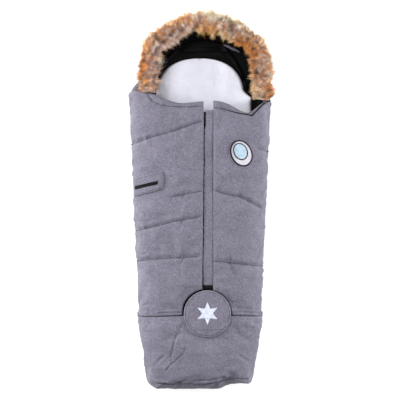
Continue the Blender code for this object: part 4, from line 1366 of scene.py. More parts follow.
@dataclass(frozen=True)
class FleeceLiner:
    """The loose fleece: a soft sheet with a brushed pile, round at the head."""

    finishes: Finishes
    foot_y: float = -470 * MM
    top_y: float = 405 * MM
    round_y: float = 290 * MM
    foot_half: float = 110 * MM
    neck_half: float = 126 * MM
    base_z: float = 24.4 * MM
    height: float = 10.6 * MM

    def build(self) -> Piece:
        """The sheet, its edges rolled, its face raised in tufts and soft waves."""
        crown = 0.86 + 0.14 * np.sin(np.linspace(0.02, 1.0, 60) * math.pi / 2)
        v = np.concatenate([np.linspace(0.0, 0.86, 210), crown])
        u = spaced(90, 2 * self.neck_half, 9 * MM)
        y = mix(self.foot_y, self.top_y, v)[:, None]
        width = mix(self.foot_half, self.neck_half, smooth(self.foot_y, self.round_y, y))
        up = np.clip((y - self.round_y) / (self.top_y - self.round_y), 0.0, 1.0)
        half = width * np.maximum(0.0016, 1.0 - up**2.4) ** (1.0 / 2.4)
        x = mix(-half, half, u[None])
        level = smooth(316 * MM, 288 * MM, y) * smooth(200 * MM, 226 * MM, y)
        x = x + 21 * MM * level * smooth(60 * MM, 126 * MM, x)
        y = np.broadcast_to(y, x.shape)
        flat = np.stack([x, y, np.full(x.shape, self.base_z)], -1)
        puff = Ripple(3.2 * MM, 80).at(flat * (1.0, 1.0, 0.0))
        curls = Ripple(6.5 * MM, 81).at(flat * (1.0, 1.0, 0.0))
        waves = Ripple(38 * MM, 82).at(flat)
        drapes = Ripple(26 * MM, 83).at(flat * (1.0, 0.22, 0.0))
        pile = 0.35 * MM * puff + 0.3 * MM * curls + 1.0 * MM * waves + 1.3 * MM * drapes
        pile = pile + 5 * MM * bell(y - 286 * MM, 20 * MM) * smooth(90 * MM, 140 * MM, x)
        top = flat.copy()
        height = (self.height + pile) * rolled(edge_distance(flat), 9 * MM)
        top[..., 2] = self.base_z + np.maximum(0.5 * MM, height)
        return add_piece("brushed_fleece_liner", *thick_sheet(top, flat), self.finishes.fleece)


# The hood and its fur


@dataclass(frozen=True)
class HoodForm:
    """The hood's plan: straight legs from the neck, then an arch that leans a little left.

    The arch is half an ellipse whose cosine is raised to the power peak, which points its top,
    and whose sine to the power shoulder, which squares its shoulders. The cloth bulges there by
    the share swell.
    """

    x: float = 15.5 * MM
    left_y: float = 318 * MM
    right_y: float = 296 * MM
    bend_y: float = 340 * MM
    low_half: float = 138 * MM
    low_rise: float = 112 * MM
    rim_half: float = 152.5 * MM
    rim_rise: float = 160 * MM
    low_z: float = 25.2 * MM
    rim_z: float = 57 * MM
    leg: float = 0.14
    lean: float = 7 * MM
    peak: float = 1.22
    shoulder: float = 0.78
    swell: float = 0.085
    padding: float = 12.3 * MM

    def line(self, share: Points, half: Points, rise: Points) -> tuple[Points, Points]:
        """The plan at each share of the way from the left corner to the right one."""
        share, half, rise = np.broadcast_arrays(share, half, rise)
        angle = math.pi * np.clip((share - self.leg) / (1.0 - 2.0 * self.leg), 0.0, 1.0)
        height = np.sin(angle) ** self.shoulder
        half = half * (1.0 + self.swell * bell(height - 0.56, 0.15))
        x = self.x - half * signed_power(np.cos(angle), self.peak) - self.lean * np.sin(angle)
        y = self.bend_y + rise * height
        first = mix(self.left_y, self.bend_y, np.clip(share / self.leg, 0.0, 1.0))
        last = mix(self.right_y, self.bend_y, np.clip((1.0 - share) / self.leg, 0.0, 1.0))
        y = np.where(share < self.leg, first, np.where(share > 1.0 - self.leg, last, y))
        return x, y

    def band(self, share: Points, up: Points, depth: float) -> Points:
        """The hood's wall: up runs from its foot on the back to its rim, depth outwards."""
        half = mix(self.low_half, self.rim_half, up) + depth
        rise = mix(self.low_rise, self.rim_rise, up) + depth
        x, y = self.line(share, half, rise)
        z = np.broadcast_to(mix(self.low_z, self.rim_z, up), x.shape)
        return np.stack([x, y, z], -1)


@dataclass(frozen=True)
class Hood:
    """The hood's lining, its padded shell, the tape that the fur is sewn to and a turned-in hem."""

    form: HoodForm
    finishes: Finishes

    def build(self) -> None:
        """Makes the four pieces."""
        share = np.linspace(0.0, 1.0, 220)[None]
        up = np.linspace(0.0, 1.0, 26)[:, None]
        inner = self.form.band(share, up, 0.0)
        folds = Ripple(15 * MM, 90).at(inner * (1.0, 1.0, 0.30))
        band = bell(up - 0.34, 0.07) * smooth(0.3, 0.4, share) * (1.0 - smooth(0.6, 0.68, share))
        sag = 5.0 * MM * folds * np.sin(up * math.pi) + 4.5 * MM * band
        toward = unit((inner - (self.form.x, 300 * MM, 0.0)) * (1.0, 1.0, 0.0))
        face = inner - toward * np.maximum(sag, 0.0)[..., None]
        sheet = thick_sheet(self.form.band(share, up, 2 * MM), face)
        cloth = self.finishes.lining
        lining = add_closed("hood_lining_cloth", sheet, cloth, "hood", "black_lining", "hood_lining")
        near = self.form.band(share, up, 2.3 * MM)
        far = self.form.band(share, up, self.form.padding)
        puff = Ripple(24 * MM, 91).at(far) * 1.6 * MM * np.sin(up * math.pi)
        sheet = thick_sheet(far + toward * puff[..., None], near)
        outside = self.finishes.melange
        shell = add_closed("padded_hood_shell", sheet, outside, "hood", "grey_melange", "hood_shell")
        wide = np.linspace(0.0, 1.0, 7)[:, None]
        high = self.rim(share, wide, 2 * MM * (0.6 + 0.4 * bow(2 * wide - 1, 2.0)))
        sheet = thick_sheet(high, self.rim(share, wide, 0.0))
        add_closed("woven_rim_tape", sheet, cloth, "hood", "black_lining", "hood_rim_tape")
        run = np.linspace(0.0, 1.0, 70)
        turned = self.form.band(mix(0.615, 0.70, run)[None], np.full((1, 70), 0.14), -2 * MM)[0]
        turned = turned + 2.2 * MM * Ripple(8 * MM, 93).at(turned)[:, None] * np.array([0.6, 0.6, 1.0])
        girth = 0.4 * MM + 3.2 * MM * np.sin(run * math.pi) ** 0.6
        add_closed("turned_in_hem", tube(turned, UPWARDS, girth, 12), outside, "hood", "grey_melange")

    def rim(self, share: Points, wide: Points, lift: Points | float) -> Points:
        """A flat strip along the hood's rim, from its inner to its outer side."""
        width = mix(0.0, self.form.padding, wide)
        x, y = self.form.line(share, self.form.rim_half + width, self.form.rim_rise + width)
        return np.stack([x, y, np.broadcast_to(self.form.rim_z + 0.3 * MM + lift, x.shape)], -1)


class Tone(Enum):
    """The colours that the fur's strands are dyed, each as its mean."""

    RUST = "#DC7A1E"
    AMBER = "#F5AE54"
    CREAM = "#FFE5C4"
    ASH = "#D6BAB6"
    UMBER = "#43281F"


@dataclass(frozen=True)
class FurTrim:
    """A ruff of imitation fur: a dense felted core and tufted strands that lean out from it.

    The strands start on the core and bend away from it. Strands that stand close together lean
    together, and a few longer guard strands stand out on the left and at the top.
    """

    form: HoodForm
    finishes: Finishes
    core: float = 18 * MM
    reach: float = 33 * MM
    count: int = 50000
    joints: int = 4
    sides: int = 3
    felt_grid: tuple[int, int] = (320, 28)
    seed: int = 11
    overhang: float = 0.75
    shortest: float = 0.55
    girth_mm: Span = (0.24, 0.46)
    tip: float = 0.04 * MM
    guard_share: float = 0.06
    guard_extra: float = 0.30
    lots: int = 5
    lowest: float = 56 * MM
    highest: float = 122 * MM

    def middle_z(self) -> float:
        """The height of the core's middle."""
        return self.form.rim_z + 3 * MM + 27 * MM - 4 * MM

    def ring(self, share: Points) -> tuple[Points, Points, Points]:
        """The ruff's middle line, its outward direction and its thickness share at each share along it."""
        fine = np.linspace(0.0, 1.0, 1600)
        middle = self.form.padding / 2 + 2 * MM
        x, y = self.form.line(fine, self.form.rim_half + middle, self.form.rim_rise + middle)
        droop = 1.0 - smooth(0.0, self.form.leg, fine)
        right = 1.0 - smooth(0.0, self.form.leg, 1.0 - fine)
        y = y - 13 * MM * droop - 11 * MM * right
        x = x + 6 * MM * droop + 5 * MM * right
        run = np.concatenate([[0.0], np.cumsum(np.hypot(np.diff(x), np.diff(y)))])
        plan_line = eased(np.stack([x, y], -1), 60)
        at = share * run[-1]
        ahead = unit(read_along(at + 2 * MM, run, plan_line) - read_along(at - 2 * MM, run, plan_line))
        out = np.stack([-ahead[..., 1], ahead[..., 0]], -1)
        ends = np.minimum(at, run[-1] - at)
        full = bow(np.clip(1.0 - (ends + 2 * MM) / (22 * MM), 0.0, 1.0), 2.0)
        return read_along(at, run, plan_line), out, full

    def felt(self) -> Piece:
        """The felted core that the strands stand on."""
        rows, sides = self.felt_grid
        line, out, full = self.ring(np.linspace(0.0, 1.0, rows))
        angle = 2 * math.pi * np.arange(sides) / sides
        away = self.core * full[:, None] * np.cos(angle)
        lift = self.core * full[:, None] * np.sin(angle)
        place = line[:, None] + away[..., None] * out[:, None]
        points = np.concatenate([place, (self.middle_z() + lift)[..., None]], -1)
        points = points + normals_of(points) * (1.3 * MM * Ripple(5 * MM, 95).at(points))[..., None]
        ends = fan(sides, up=True), fan(sides, (rows - 1) * sides)
        faces = np.concatenate([grid_faces(rows, sides, wrap=True), *ends])
        felt = outward(add_piece("fur_felt", points.reshape(-1, 3), faces, self.finishes.fur))
        paint(felt, np.tile(linear(Tone.AMBER.value), (len(felt.data.vertices), 1)))
        return felt

    def tone_at(self, share: Points, angle: Points, place: Points, pick: Points) -> Points:
        """Each strand's linear colour: patches of rust, cream and ash along the ruff, with mixed strands.

        Args:
            share: where along the ruff each strand stands.
            angle: where round the core, 0 outwards and a quarter turn towards the front.
            place: the strand's root.
            pick: a random share for each strand.

        Returns:
            One colour for each strand.
        """
        patch = Ripple(30 * MM, 97).at(place) * 0.5 + Ripple(13 * MM, 98).at(place) * 0.5
        outer = smooth(-0.3, 0.7, np.cos(angle))
        inner = smooth(-0.3, 0.7, -np.cos(angle))
        rusty = outer * (bell(share - 0.13, 0.08) + 0.7 * bell(share - 0.28, 0.03) + bell(share - 0.38, 0.05))
        rusty = rusty + inner * (0.7 * bell(share - 0.50, 0.07) + bell(share - 0.74, 0.10))
        rusty = rusty + 0.8 * outer * bell(share - 0.97, 0.04)
        rusty = np.clip(rusty + 0.45 * patch + 0.25 * smooth(0.60, 0.75, share), 0.0, 1.0)
        ashy = 0.8 * np.sin(angle) ** 2 + 0.5 * patch + 0.6 * inner * smooth(0.46, 0.36, share)
        ashy = np.clip(ashy, 0.0, 1.0) * (1.0 - rusty)
        tones = {tone: np.array(linear(tone.value)) for tone in Tone}
        colour = np.where((pick < 0.10 + 0.85 * rusty)[:, None], tones[Tone.RUST], tones[Tone.CREAM])
        warm = (pick * 7.0) % 1.0
        colour = np.where((warm < 0.38)[:, None], tones[Tone.AMBER], colour)
        colour = np.where(((pick * 13.0) % 1.0 < 0.80 * ashy)[:, None], tones[Tone.ASH], colour)
        dark = (pick * 29.0) % 1.0 < mix(0.09, 0.16, smooth(0.55, 0.70, share))
        return np.where(dark[:, None], tones[Tone.UMBER], colour)

    def strands(self) -> tuple[Points, Faces, Points]:
        """All the strands: their points, faces and colours.

        Each is a three-sided spike of four rings along a parabola: it starts along the core's
        normal and bends towards its tuft's own lean. Its colour is painted darker at the root as shade among
        the strands.
        """
        rng = np.random.default_rng(self.seed)
        share = rng.uniform(0.0, 1.0, self.count)
        angle = rng.uniform(-self.overhang, math.pi + self.overhang, self.count)
        line, out, full = self.ring(share)
        normal = np.stack([np.cos(angle) * out[:, 0], np.cos(angle) * out[:, 1], np.sin(angle)], -1)
        middle = np.column_stack([line, np.full(self.count, self.middle_z())])
        root = middle + normal * (self.core * full)[:, None]
        lean = np.stack([Ripple(9 * MM, seed).at(root) for seed in (101, 102, 103)], -1)
        lean = lean + 0.5 * np.stack([Ripple(24 * MM, seed).at(root) for seed in (104, 105, 106)], -1)
        lean = lean + rng.normal(0.0, 0.16, (self.count, 3))
        long = rng.uniform(self.shortest, 1.0, self.count) * (1.0 + 0.25 * Ripple(14 * MM, 107).at(root))
        guard = (rng.uniform(0.0, 1.0, self.count) < self.guard_share) * (share < 0.6)
        long = long * (1.0 + self.guard_extra * guard)
        length = (self.reach - self.core) * 1.25 * long * np.maximum(full, 0.35)
        side = unit(np.cross(normal, lean))
        other = np.cross(side, normal)
        t = np.linspace(0.0, 1.0, self.joints)
        path = root[:, None] + normal[:, None] * (length[:, None] * (t - 0.25 * t**2))[..., None]
        path = path + lean[:, None] * (length[:, None] * 0.75 * t**2)[..., None]
        path[..., 2] = np.clip(path[..., 2], self.lowest, self.highest)
        radius = rng.uniform(*self.girth_mm, self.count) * MM
        width = radius[:, None] * (1.0 - t) ** 0.6
        width[:, -1] = self.tip
        turn = 2 * math.pi * np.arange(self.sides) / self.sides
        circle = np.cos(turn)[None, :, None] * side[:, None] + np.sin(turn)[None, :, None] * other[:, None]
        points = path[:, :, None] + width[..., None, None] * circle[:, None]
        first = np.arange(self.count)[:, None, None] * (self.joints * self.sides)
        faces = grid_faces(self.joints, self.sides, wrap=True)[None] + first
        colour = self.tone_at(share, angle, root, rng.uniform(0.0, 1.0, self.count))
        clump = Ripple(4.5 * MM, 108).at(root) + 0.35 * rng.normal(0.0, 1.0, self.count)
        tipped = (smooth(0.28, 0.5, clump) * smooth(-0.2, 0.5, np.sin(angle)))[:, None]
        tuft = 0.92 + 0.75 * Ripple(6.5 * MM, 109).at(root)[:, None] + 0.42 * bell(share - 0.5, 0.14)[:, None]
        # Painted shade: strands without dark tips are painted darker at the root and lighter at the tip, for
        # the shade among the strands; tipped strands keep their own dark tips.
        shade = (tuft * mix(mix(0.9, 1.5, t)[None], mix(1.1, 0.2, t**1.3)[None], tipped))[:, :, None, None]
        colours = np.clip(colour[:, None, None, :] * shade * np.ones((1, 1, self.sides, 1)), 0.0, 1.0)
        colours[..., 3] = 1.0
        return points.reshape(-1, 3), faces.reshape(-1, 4), colours.reshape(-1, 4)

    def build(self) -> None:
        """Makes the core and the strands, the strands in equal lots."""
        set_out(self.felt(), "hood", "fur", "fur_trim")
        lots = zip(*(np.split(part, self.lots) for part in self.strands()))
        for number, (points, faces, colours) in enumerate(lots):
            faces = faces - number * len(points)
            tuft = add_piece(f"fur_strands_{number + 1}", points, faces, self.finishes.fur)
            paint(tuft, colours)
            set_out(tuft, "hood", "fur")


def paint(piece: Piece, colours: Points) -> None:
    """Keeps a colour for each point of a piece, for its finish to read."""
    layer = piece.data.attributes.new(STRAND_COLOUR, "FLOAT_COLOR", "POINT")
    layer.data.foreach_set("color", np.ascontiguousarray(colours, dtype=np.float32).ravel())


# Zips


@dataclass(frozen=True)
class ZipRow:
    """One row of moulded teeth on its tape.

    The row runs from start to end in plan; toward says which side of that direction its teeth reach to.
    """

    name: str
    start: tuple[float, float]
    end: tuple[float, float]
    toward: float
    height: float
    tape_width: float
    body: str
    phase: float = 0.0
    pitch: float = 4.4 * MM

    def frame(self) -> tuple[Points, Points, float]:
        """The direction along, the direction that the teeth reach in, and the length."""
        run = np.subtract(self.end, self.start)
        length = float(np.hypot(*run))
        along = run / length
        return along, np.array([-along[1], along[0]]) * self.toward, length

    def teeth(self, finishes: Finishes) -> None:
        """Each tooth is an eight-sided block with a narrower head, bridging the tape's cord."""
        along, reach, length = self.frame()
        right = [(1.0, -3.3), (1.25, -2.4), (0.9, -0.9), (1.3, 0.2), (0.8, 0.9)]
        left = [(-x, y) for x, y in reversed(right)]
        outline = np.array([left[-1], *right, *left[:-1]]) * MM
        count = len(outline)
        middle = outline.mean(0)
        rings = []
        for lift, shrink in ((-1.2, 0.8), (-0.9, 1.0), (0.9, 1.0), (1.2, 0.8)):
            rings.append(np.column_stack([middle + (outline - middle) * shrink, np.full(count, lift * MM)]))
        faces = [grid_faces(4, count, wrap=True), fan(count), fan(count, 3 * count, up=True)]
        steps = np.arange(self.phase * self.pitch, length, self.pitch)
        origins = np.column_stack([self.start + steps[:, None] * along, np.full(len(steps), self.height)])
        axes = np.zeros((len(steps), 3, 3))
        axes[:, 0, :2] = along
        axes[:, 1, :2] = reach
        axes[:, 2, 2] = 1.0
        row = scattered(np.concatenate(rings), np.concatenate(faces), axes, origins)
        row = outward(add_piece(f"{self.name}_moulded_teeth", *row, finishes.teeth, flat=True))
        set_out(row, self.body, "zip_plastic", f"{self.name}_teeth")

    def tape(self, finishes: Finishes) -> None:
        """The woven tape: a thin strip with a raised cord under the teeth and a slight wave."""
        along, reach, length = self.frame()
        v = np.linspace(0.0, 1.0, int(length / (3 * MM)) + 2)[:, None]
        away = np.array([0.2, 0.5, 1.4, 2.0, 2.4, 3.4, 5.0, 8.0, self.tape_width / MM])[None] * MM
        away = np.minimum(away, self.tape_width)
        plan_x = self.start[0] + along[0] * v * length - reach[0] * (away + 0.4 * MM)
        plan_y = self.start[1] + along[1] * v * length - reach[1] * (away + 0.4 * MM)
        cord = 0.5 * MM * bell(away - 1.2 * MM, 0.9 * MM)
        wave = 0.25 * MM * Ripple(13 * MM, 120).at(np.stack([plan_x, plan_y, plan_x * 0], -1))
        top = np.stack([plan_x, plan_y, self.height + 0.35 * MM + cord + wave], -1)
        low = np.stack([plan_x, plan_y, self.height - 0.35 * MM - cord + wave], -1)
        name = f"{self.name}_woven_tape"
        add_closed(name, thick_sheet(top, low), finishes.tape, self.body, "zip_tape", f"{self.name}_tape")


@dataclass(frozen=True)
class Placket:
    """The strip of the bag's cloth that covers the centre zip: padded a little, stitched down both sides."""

    finishes: Finishes
    slant: float = 0.0115
    low: tuple[float, float] = (14.4 * MM, -241 * MM)
    high: tuple[float, float] = (39.4 * MM, 254 * MM)
    base: float = 110.4 * MM
    rise: float = 3.8 * MM
    inset: float = 3.6 * MM

    def build(self) -> None:
        """The strip and a row of stitches along each side."""
        length = self.high[1] - self.low[1]
        width = self.high[0] - self.low[0]
        v = spaced(int(length / (2.5 * MM)), length, 5 * MM)
        u = spaced(22, width, 3 * MM)
        across, along = np.meshgrid(u, v)
        y = mix(self.low[1], self.high[1], along)
        by_pull = smooth(198 * MM, 214 * MM, y)
        along_only = np.stack([y * 0, y, y * 0], -1)
        ruffle = mix(1.1, 0.5, by_pull) * MM * Ripple(7 * MM, 130).at(along_only)
        first = self.low[0] + self.slant * (y - self.high[1]) + ruffle + 2.4 * MM * by_pull
        sway = 0.9 * MM * Ripple(60 * MM, 131).at(along_only)
        x = mix(first, self.high[0] + np.minimum(0.0, sway), across)
        flat = np.stack([x, y, np.full(x.shape, self.base)], -1)
        left, right, _, _ = edge_ways(flat)
        edge = edge_distance(flat)
        sides = np.minimum(left, right)
        gathers = gathered(y, sides * 0.35, (left > right) * 0.05, Ripple(9 * MM, 132))
        gathers = 0.7 * MM * gathers * smooth(0.0, 4 * MM, edge)
        groove = mix(0.9, 1.8, right < left) * MM * bell(sides - self.inset, 1.1 * MM)
        slow = 0.6 * MM * Ripple(30 * MM, 133).at(flat)
        top = flat.copy()
        height = (self.rise + gathers + slow - groove) * rolled(edge, 3 * MM)
        top[..., 2] = self.base + np.maximum(0.3 * MM, height)
        strip = add_piece("zip_placket_cloth", *thick_sheet(top, flat), self.finishes.melange)
        set_out(strip, "right_front", "grey_melange", "zip_placket")
        run = np.linspace(self.low[1] + 4 * MM, self.high[1] - 4 * MM, 240)
        slanted = self.slant * (run - self.high[1])
        free = ("free", slanted, self.inset, self.finishes.thread)
        # Painted shadow: the sewn side's stitches are near black, for the shade along that seam.
        sewn = ("sewn", 0.0 * run, width - self.inset, self.finishes.dark_thread)
        for name, tilt, inset, finish in (free, sewn):
            path = np.column_stack([self.low[0] + tilt + inset, run])
            stitches = Stitching().row(*Surface(top).laid(path, 0.1 * MM))
            thread = add_piece(f"placket_{name}_stitches", *stitches, finish)
            set_out(thread, "right_front", "grey_melange")


# The round cover, the pocket and the badge


@dataclass(frozen=True)
class RoundCover:
    """The round cover where the zips meet: a base sewn down below its fold and a flap above it."""

    form: BagForm
    finishes: Finishes
    fold: float = 45 * MM
    base_z: float = 116.9 * MM
    thickness: float = 5.0 * MM
    ring_inset: float = 5.0 * MM
    sign_radius: float = 33 * MM
    sign_waist: float = 0.45
    grid: tuple[int, int] = (90, 110)

    def pad(self, low: float, high: float, gap: float) -> Points:
        """The top of the disc between two offsets in y, as a grid that narrows at both sides."""
        radius = self.form.cover_radius
        reach = radius if low < 0.0 < high else math.sqrt(radius**2 - min(abs(low), abs(high)) ** 2)
        rows, columns = self.grid
        u = np.sin(np.linspace(-1.0, 1.0, columns) * math.pi / 2) * (reach - 0.4 * MM)
        v = np.linspace(0.0, 1.0, rows)[:, None]
        arc = np.sqrt(radius**2 - u**2)
        bottom, top = np.maximum(low, -arc), np.minimum(high, arc)
        x = np.broadcast_to(self.form.cover_x + u, self.grid)
        y = self.form.cover_y + mix(bottom, top, v)
        away_x, away_y = x - self.form.cover_x, y - self.form.cover_y
        rim = radius - np.hypot(away_x, away_y)
        fold_y = self.form.cover_y - self.fold
        edge = np.minimum(rim, (np.abs(y - fold_y) + gap) * 5.0)
        roll = bow(1.0 - np.clip(edge / (3.5 * MM), 0.0, 1.0), 2.0)
        gathers = gathered(np.arctan2(away_y, away_x) * radius, rim * 0.4, 0.0, Ripple(8 * MM, 141))
        gathers = 0.55 * MM * gathers * bell(rim - 9 * MM, 7 * MM)
        ring = 1.1 * MM * bell(rim - self.ring_inset, 1.2 * MM)
        mark = 0.5 * MM * bell(y - (self.form.cover_y - 13 * MM), 1.6 * MM)
        soft = 0.5 * MM * Ripple(22 * MM, 142).at(np.stack([x, y, x * 0], -1)) - 0.4 * MM
        height = self.thickness - ring - mark + gathers + soft
        z = self.base_z + np.maximum(0.3 * MM, height * np.maximum(roll, 0.10))
        return np.stack([x, y, z], -1)

    def outline(self) -> Points:
        """The sign: a six-armed star, its corners eased."""
        corner = np.arange(13)
        radius = np.where(corner % 2 == 0, 1.0, self.sign_waist) * self.sign_radius
        angle = math.pi / 2 + math.pi * corner / 6
        tips = np.stack([radius * np.cos(angle), radius * np.sin(angle)], -1)
        at = np.linspace(0.0, 12.0, 289)[:-1]
        line = read_along(at, corner, tips)
        for _ in range(10):
            line = line / 2 + (np.roll(line, 1, 0) + np.roll(line, -1, 0)) / 4
        return line + (self.form.cover_x, self.form.cover_y + 2 * MM)

    def build(self) -> None:
        """Makes the flap, the base, the stitches and the sign."""
        radius = self.form.cover_radius
        surfaces = {}
        for kind, low, high, body in (
            ("flap", -self.fold + 0.3 * MM, radius, "zip_cover"),
            ("base", -radius, -self.fold - 0.3 * MM, "foot_front"),
        ):
            top = self.pad(low, high, 0.15 * MM)
            flat = top.copy()
            flat[..., 2] = self.base_z
            piece = add_piece(f"round_cover_{kind}", *thick_sheet(top, flat), self.finishes.melange)
            set_out(outward(piece), body, "grey_melange", f"zip_cover_{kind}")
            surfaces[kind] = Surface(top)
        angle = np.linspace(0.0, 2 * math.pi, 500)
        radius = radius - self.ring_inset
        x, y = self.form.cover_x + radius * np.cos(angle), self.form.cover_y + radius * np.sin(angle)
        circle = np.column_stack([x, y])
        split = self.form.cover_y - self.fold
        upper = np.roll(circle[:-1], 125, 0)
        upper = upper[upper[:, 1] > split + 1.5 * MM]
        lower = circle[(circle[:, 1] < split - 1.5 * MM)]
        sewing = Stitching(length=2.8 * MM, radius=0.5 * MM)
        for kind, run, body in (("flap", upper, "zip_cover"), ("base", lower, "foot_front")):
            row = sewing.row(*surfaces[kind].laid(run, 0.2 * MM))
            # Painted shadow: the ring of stitches is near black, for the shade in its groove.
            thread = add_piece(f"cover_{kind}_stitches", *row, self.finishes.dark_thread)
            set_out(thread, body, "grey_melange")
        outline = self.outline()
        middle = np.array([self.form.cover_x, self.form.cover_y + 2 * MM])
        rings = [surfaces["flap"].laid(outline, -0.3 * MM)[0]]
        for share in (1.0, 0.985, 0.8, 0.6, 0.4, 0.2, 0.0):
            rings.append(surfaces["flap"].laid(middle + (outline - middle) * share, 0.45 * MM)[0])
        faces = np.concatenate([grid_faces(len(rings), len(outline), wrap=True), fan(len(outline))])
        sign = np.concatenate(rings), faces
        add_closed("printed_star_sign", sign, self.finishes.beads, "zip_cover", "reflective", "cover_emblem")


@dataclass(frozen=True)
class Pocket:
    """The slanted pocket on the left panel: its welt, its flap and the bare rubber label."""

    form: BagForm
    finishes: Finishes
    left_x: float = -185.5 * MM
    right_x: float = -101 * MM
    top_y: float = 62 * MM
    climb: float = 20 * MM
    height: float = 52 * MM
    corner: float = 16 * MM

    def sheet(
        self, drops: Span, insets: Span, corner: float, lift: Points | float, size: tuple[int, int]
    ) -> Points:
        """A grid on the panel below the flap's slanted top edge.

        Args:
            drops: how far its top and its bottom lie below the flap's top edge.
            insets: how far its ends lie inside the flap's ends.
            corner: the round at its lower right corner.
            lift: how far above the panel, one value or one for each point.
            size: rows and columns.

        Returns:
            The grid, x rising along its rows and y up its columns.
        """
        u, v = np.meshgrid(np.linspace(0.0, 1.0, size[1]), np.linspace(0.0, 1.0, size[0]))
        drop = mix(drops[0], drops[1], 1.0 - v)
        rounding = 0.0 * v
        if corner:
            rounding = corner * (1.0 - bow(np.maximum(0.0, 1.0 - (drops[1] - drop) / corner), 2.0))
        x = mix(self.left_x + insets[0], self.right_x - insets[1] - rounding, u)
        y = self.top_y + self.climb * (x - self.left_x) / (self.right_x - self.left_x) - drop
        half = self.form.side_seam(y)
        angle = self.form.angle_at_x(x, half)
        x, z = self.form.arch(angle, half + lift, self.form.crown_z + lift)
        return np.stack([x, y, z], -1)

    def welt(self) -> None:
        """The bound lip of the pocket, under the flap."""
        place = (8 * MM, 20 * MM), (8 * MM, 8 * MM), 0.0
        top, low = (self.sheet(*place, lift, (10, 60)) for lift in (1.6 * MM, 0.8 * MM))
        welt = add_piece("pocket_welt_cloth", *thick_sheet(top, low), self.finishes.lining)
        set_out(welt, "left_front", "black_lining", "pocket_welt")

    def flap(self) -> Surface:
        """The padded flap; gives its top for what lies on it."""
        place, size = ((0.0, self.height), (0.0, 0.0), self.corner), (72, 100)
        flat = self.sheet(*place, 0.0, size)
        left, right, low, high = edge_ways(flat)
        sides = np.minimum.reduce([left, right, low])
        groove = 0.8 * MM * (bell(sides - 5 * MM, 1.1 * MM) + bell(high - 4 * MM, 1.1 * MM))
        gathers = gathered(flat[..., 0] + flat[..., 1], sides * 0.4, 0.0, Ripple(9 * MM, 151))
        gathers = 0.5 * MM * gathers * bell(sides - 9 * MM, 7 * MM)
        soft = 0.7 * MM * Ripple(24 * MM, 152).at(flat)
        height = (2.6 * MM + gathers + soft - groove) * rolled(edge_distance(flat), 2.5 * MM)
        top = self.sheet(*place, 2.3 * MM + np.maximum(0.3 * MM, height), size)
        low = self.sheet(*place, 2.25 * MM, size)
        flap = add_piece("pocket_flap_cloth", *thick_sheet(top, low), self.finishes.melange)
        set_out(flap, "pocket_flap", "grey_melange", "pocket_flap")
        return Surface(top)

    def label(self) -> None:
        """The bare rubber label, with a raised rim."""
        drops, insets, size = (24 * MM, 34 * MM), (6 * MM, 15 * MM), (16, 90)
        plain = self.sheet(drops, insets, 0.0, 5.5 * MM, size)
        edge = edge_distance(plain)
        ridge = 0.35 * MM * smooth(1.0 * MM, 1.6 * MM, edge)
        rise = 1.2 * MM * np.maximum(0.1, bow(1.0 - np.clip(edge / (0.8 * MM), 0.0, 1.0), 2.0))
        top = self.sheet(drops, insets, 0.0, 5.5 * MM + rise - ridge, size)
        label = add_piece("bare_rubber_label", *thick_sheet(top, plain), self.finishes.rubber)
        set_out(label, "pocket_flap", "black_rubber", "pocket_label")

    def build(self) -> None:
        """Makes the welt, the flap with its stitching, and the label."""
        self.welt()
        surface = self.flap()
        climb = self.climb / (self.right_x - self.left_x)

        def point(from_left: float, drop: float) -> Span:
            """A place in plan, from the flap's left end and from its top edge."""
            return self.left_x + from_left, self.top_y + climb * from_left - drop

        wide = self.right_x - self.left_x
        edge_at, drop_at = wide - 5 * MM, self.height - 5 * MM
        around = Trace((
            point(5 * MM, 5 * MM),
            point(5 * MM, drop_at),
            point(wide - self.corner, drop_at),
            point(edge_at, self.height - self.corner),
            point(edge_at, 5 * MM),
        ))
        hinge = Trace((point(2 * MM, 4 * MM), point(wide - 2 * MM, 4 * MM)))
        sewing = Stitching(length=2.8 * MM, radius=0.5 * MM)
        rows = [sewing.row(*surface.laid(trace.walk(1 * MM), 0.15 * MM)) for trace in (around, hinge)]
        # Painted shadow: the pocket's stitches are near black, for the shade along its seams.
        thread = add_piece("pocket_stitches", *merged(*rows), self.finishes.dark_thread)
        set_out(thread, "pocket_flap", "grey_melange")
        self.label()


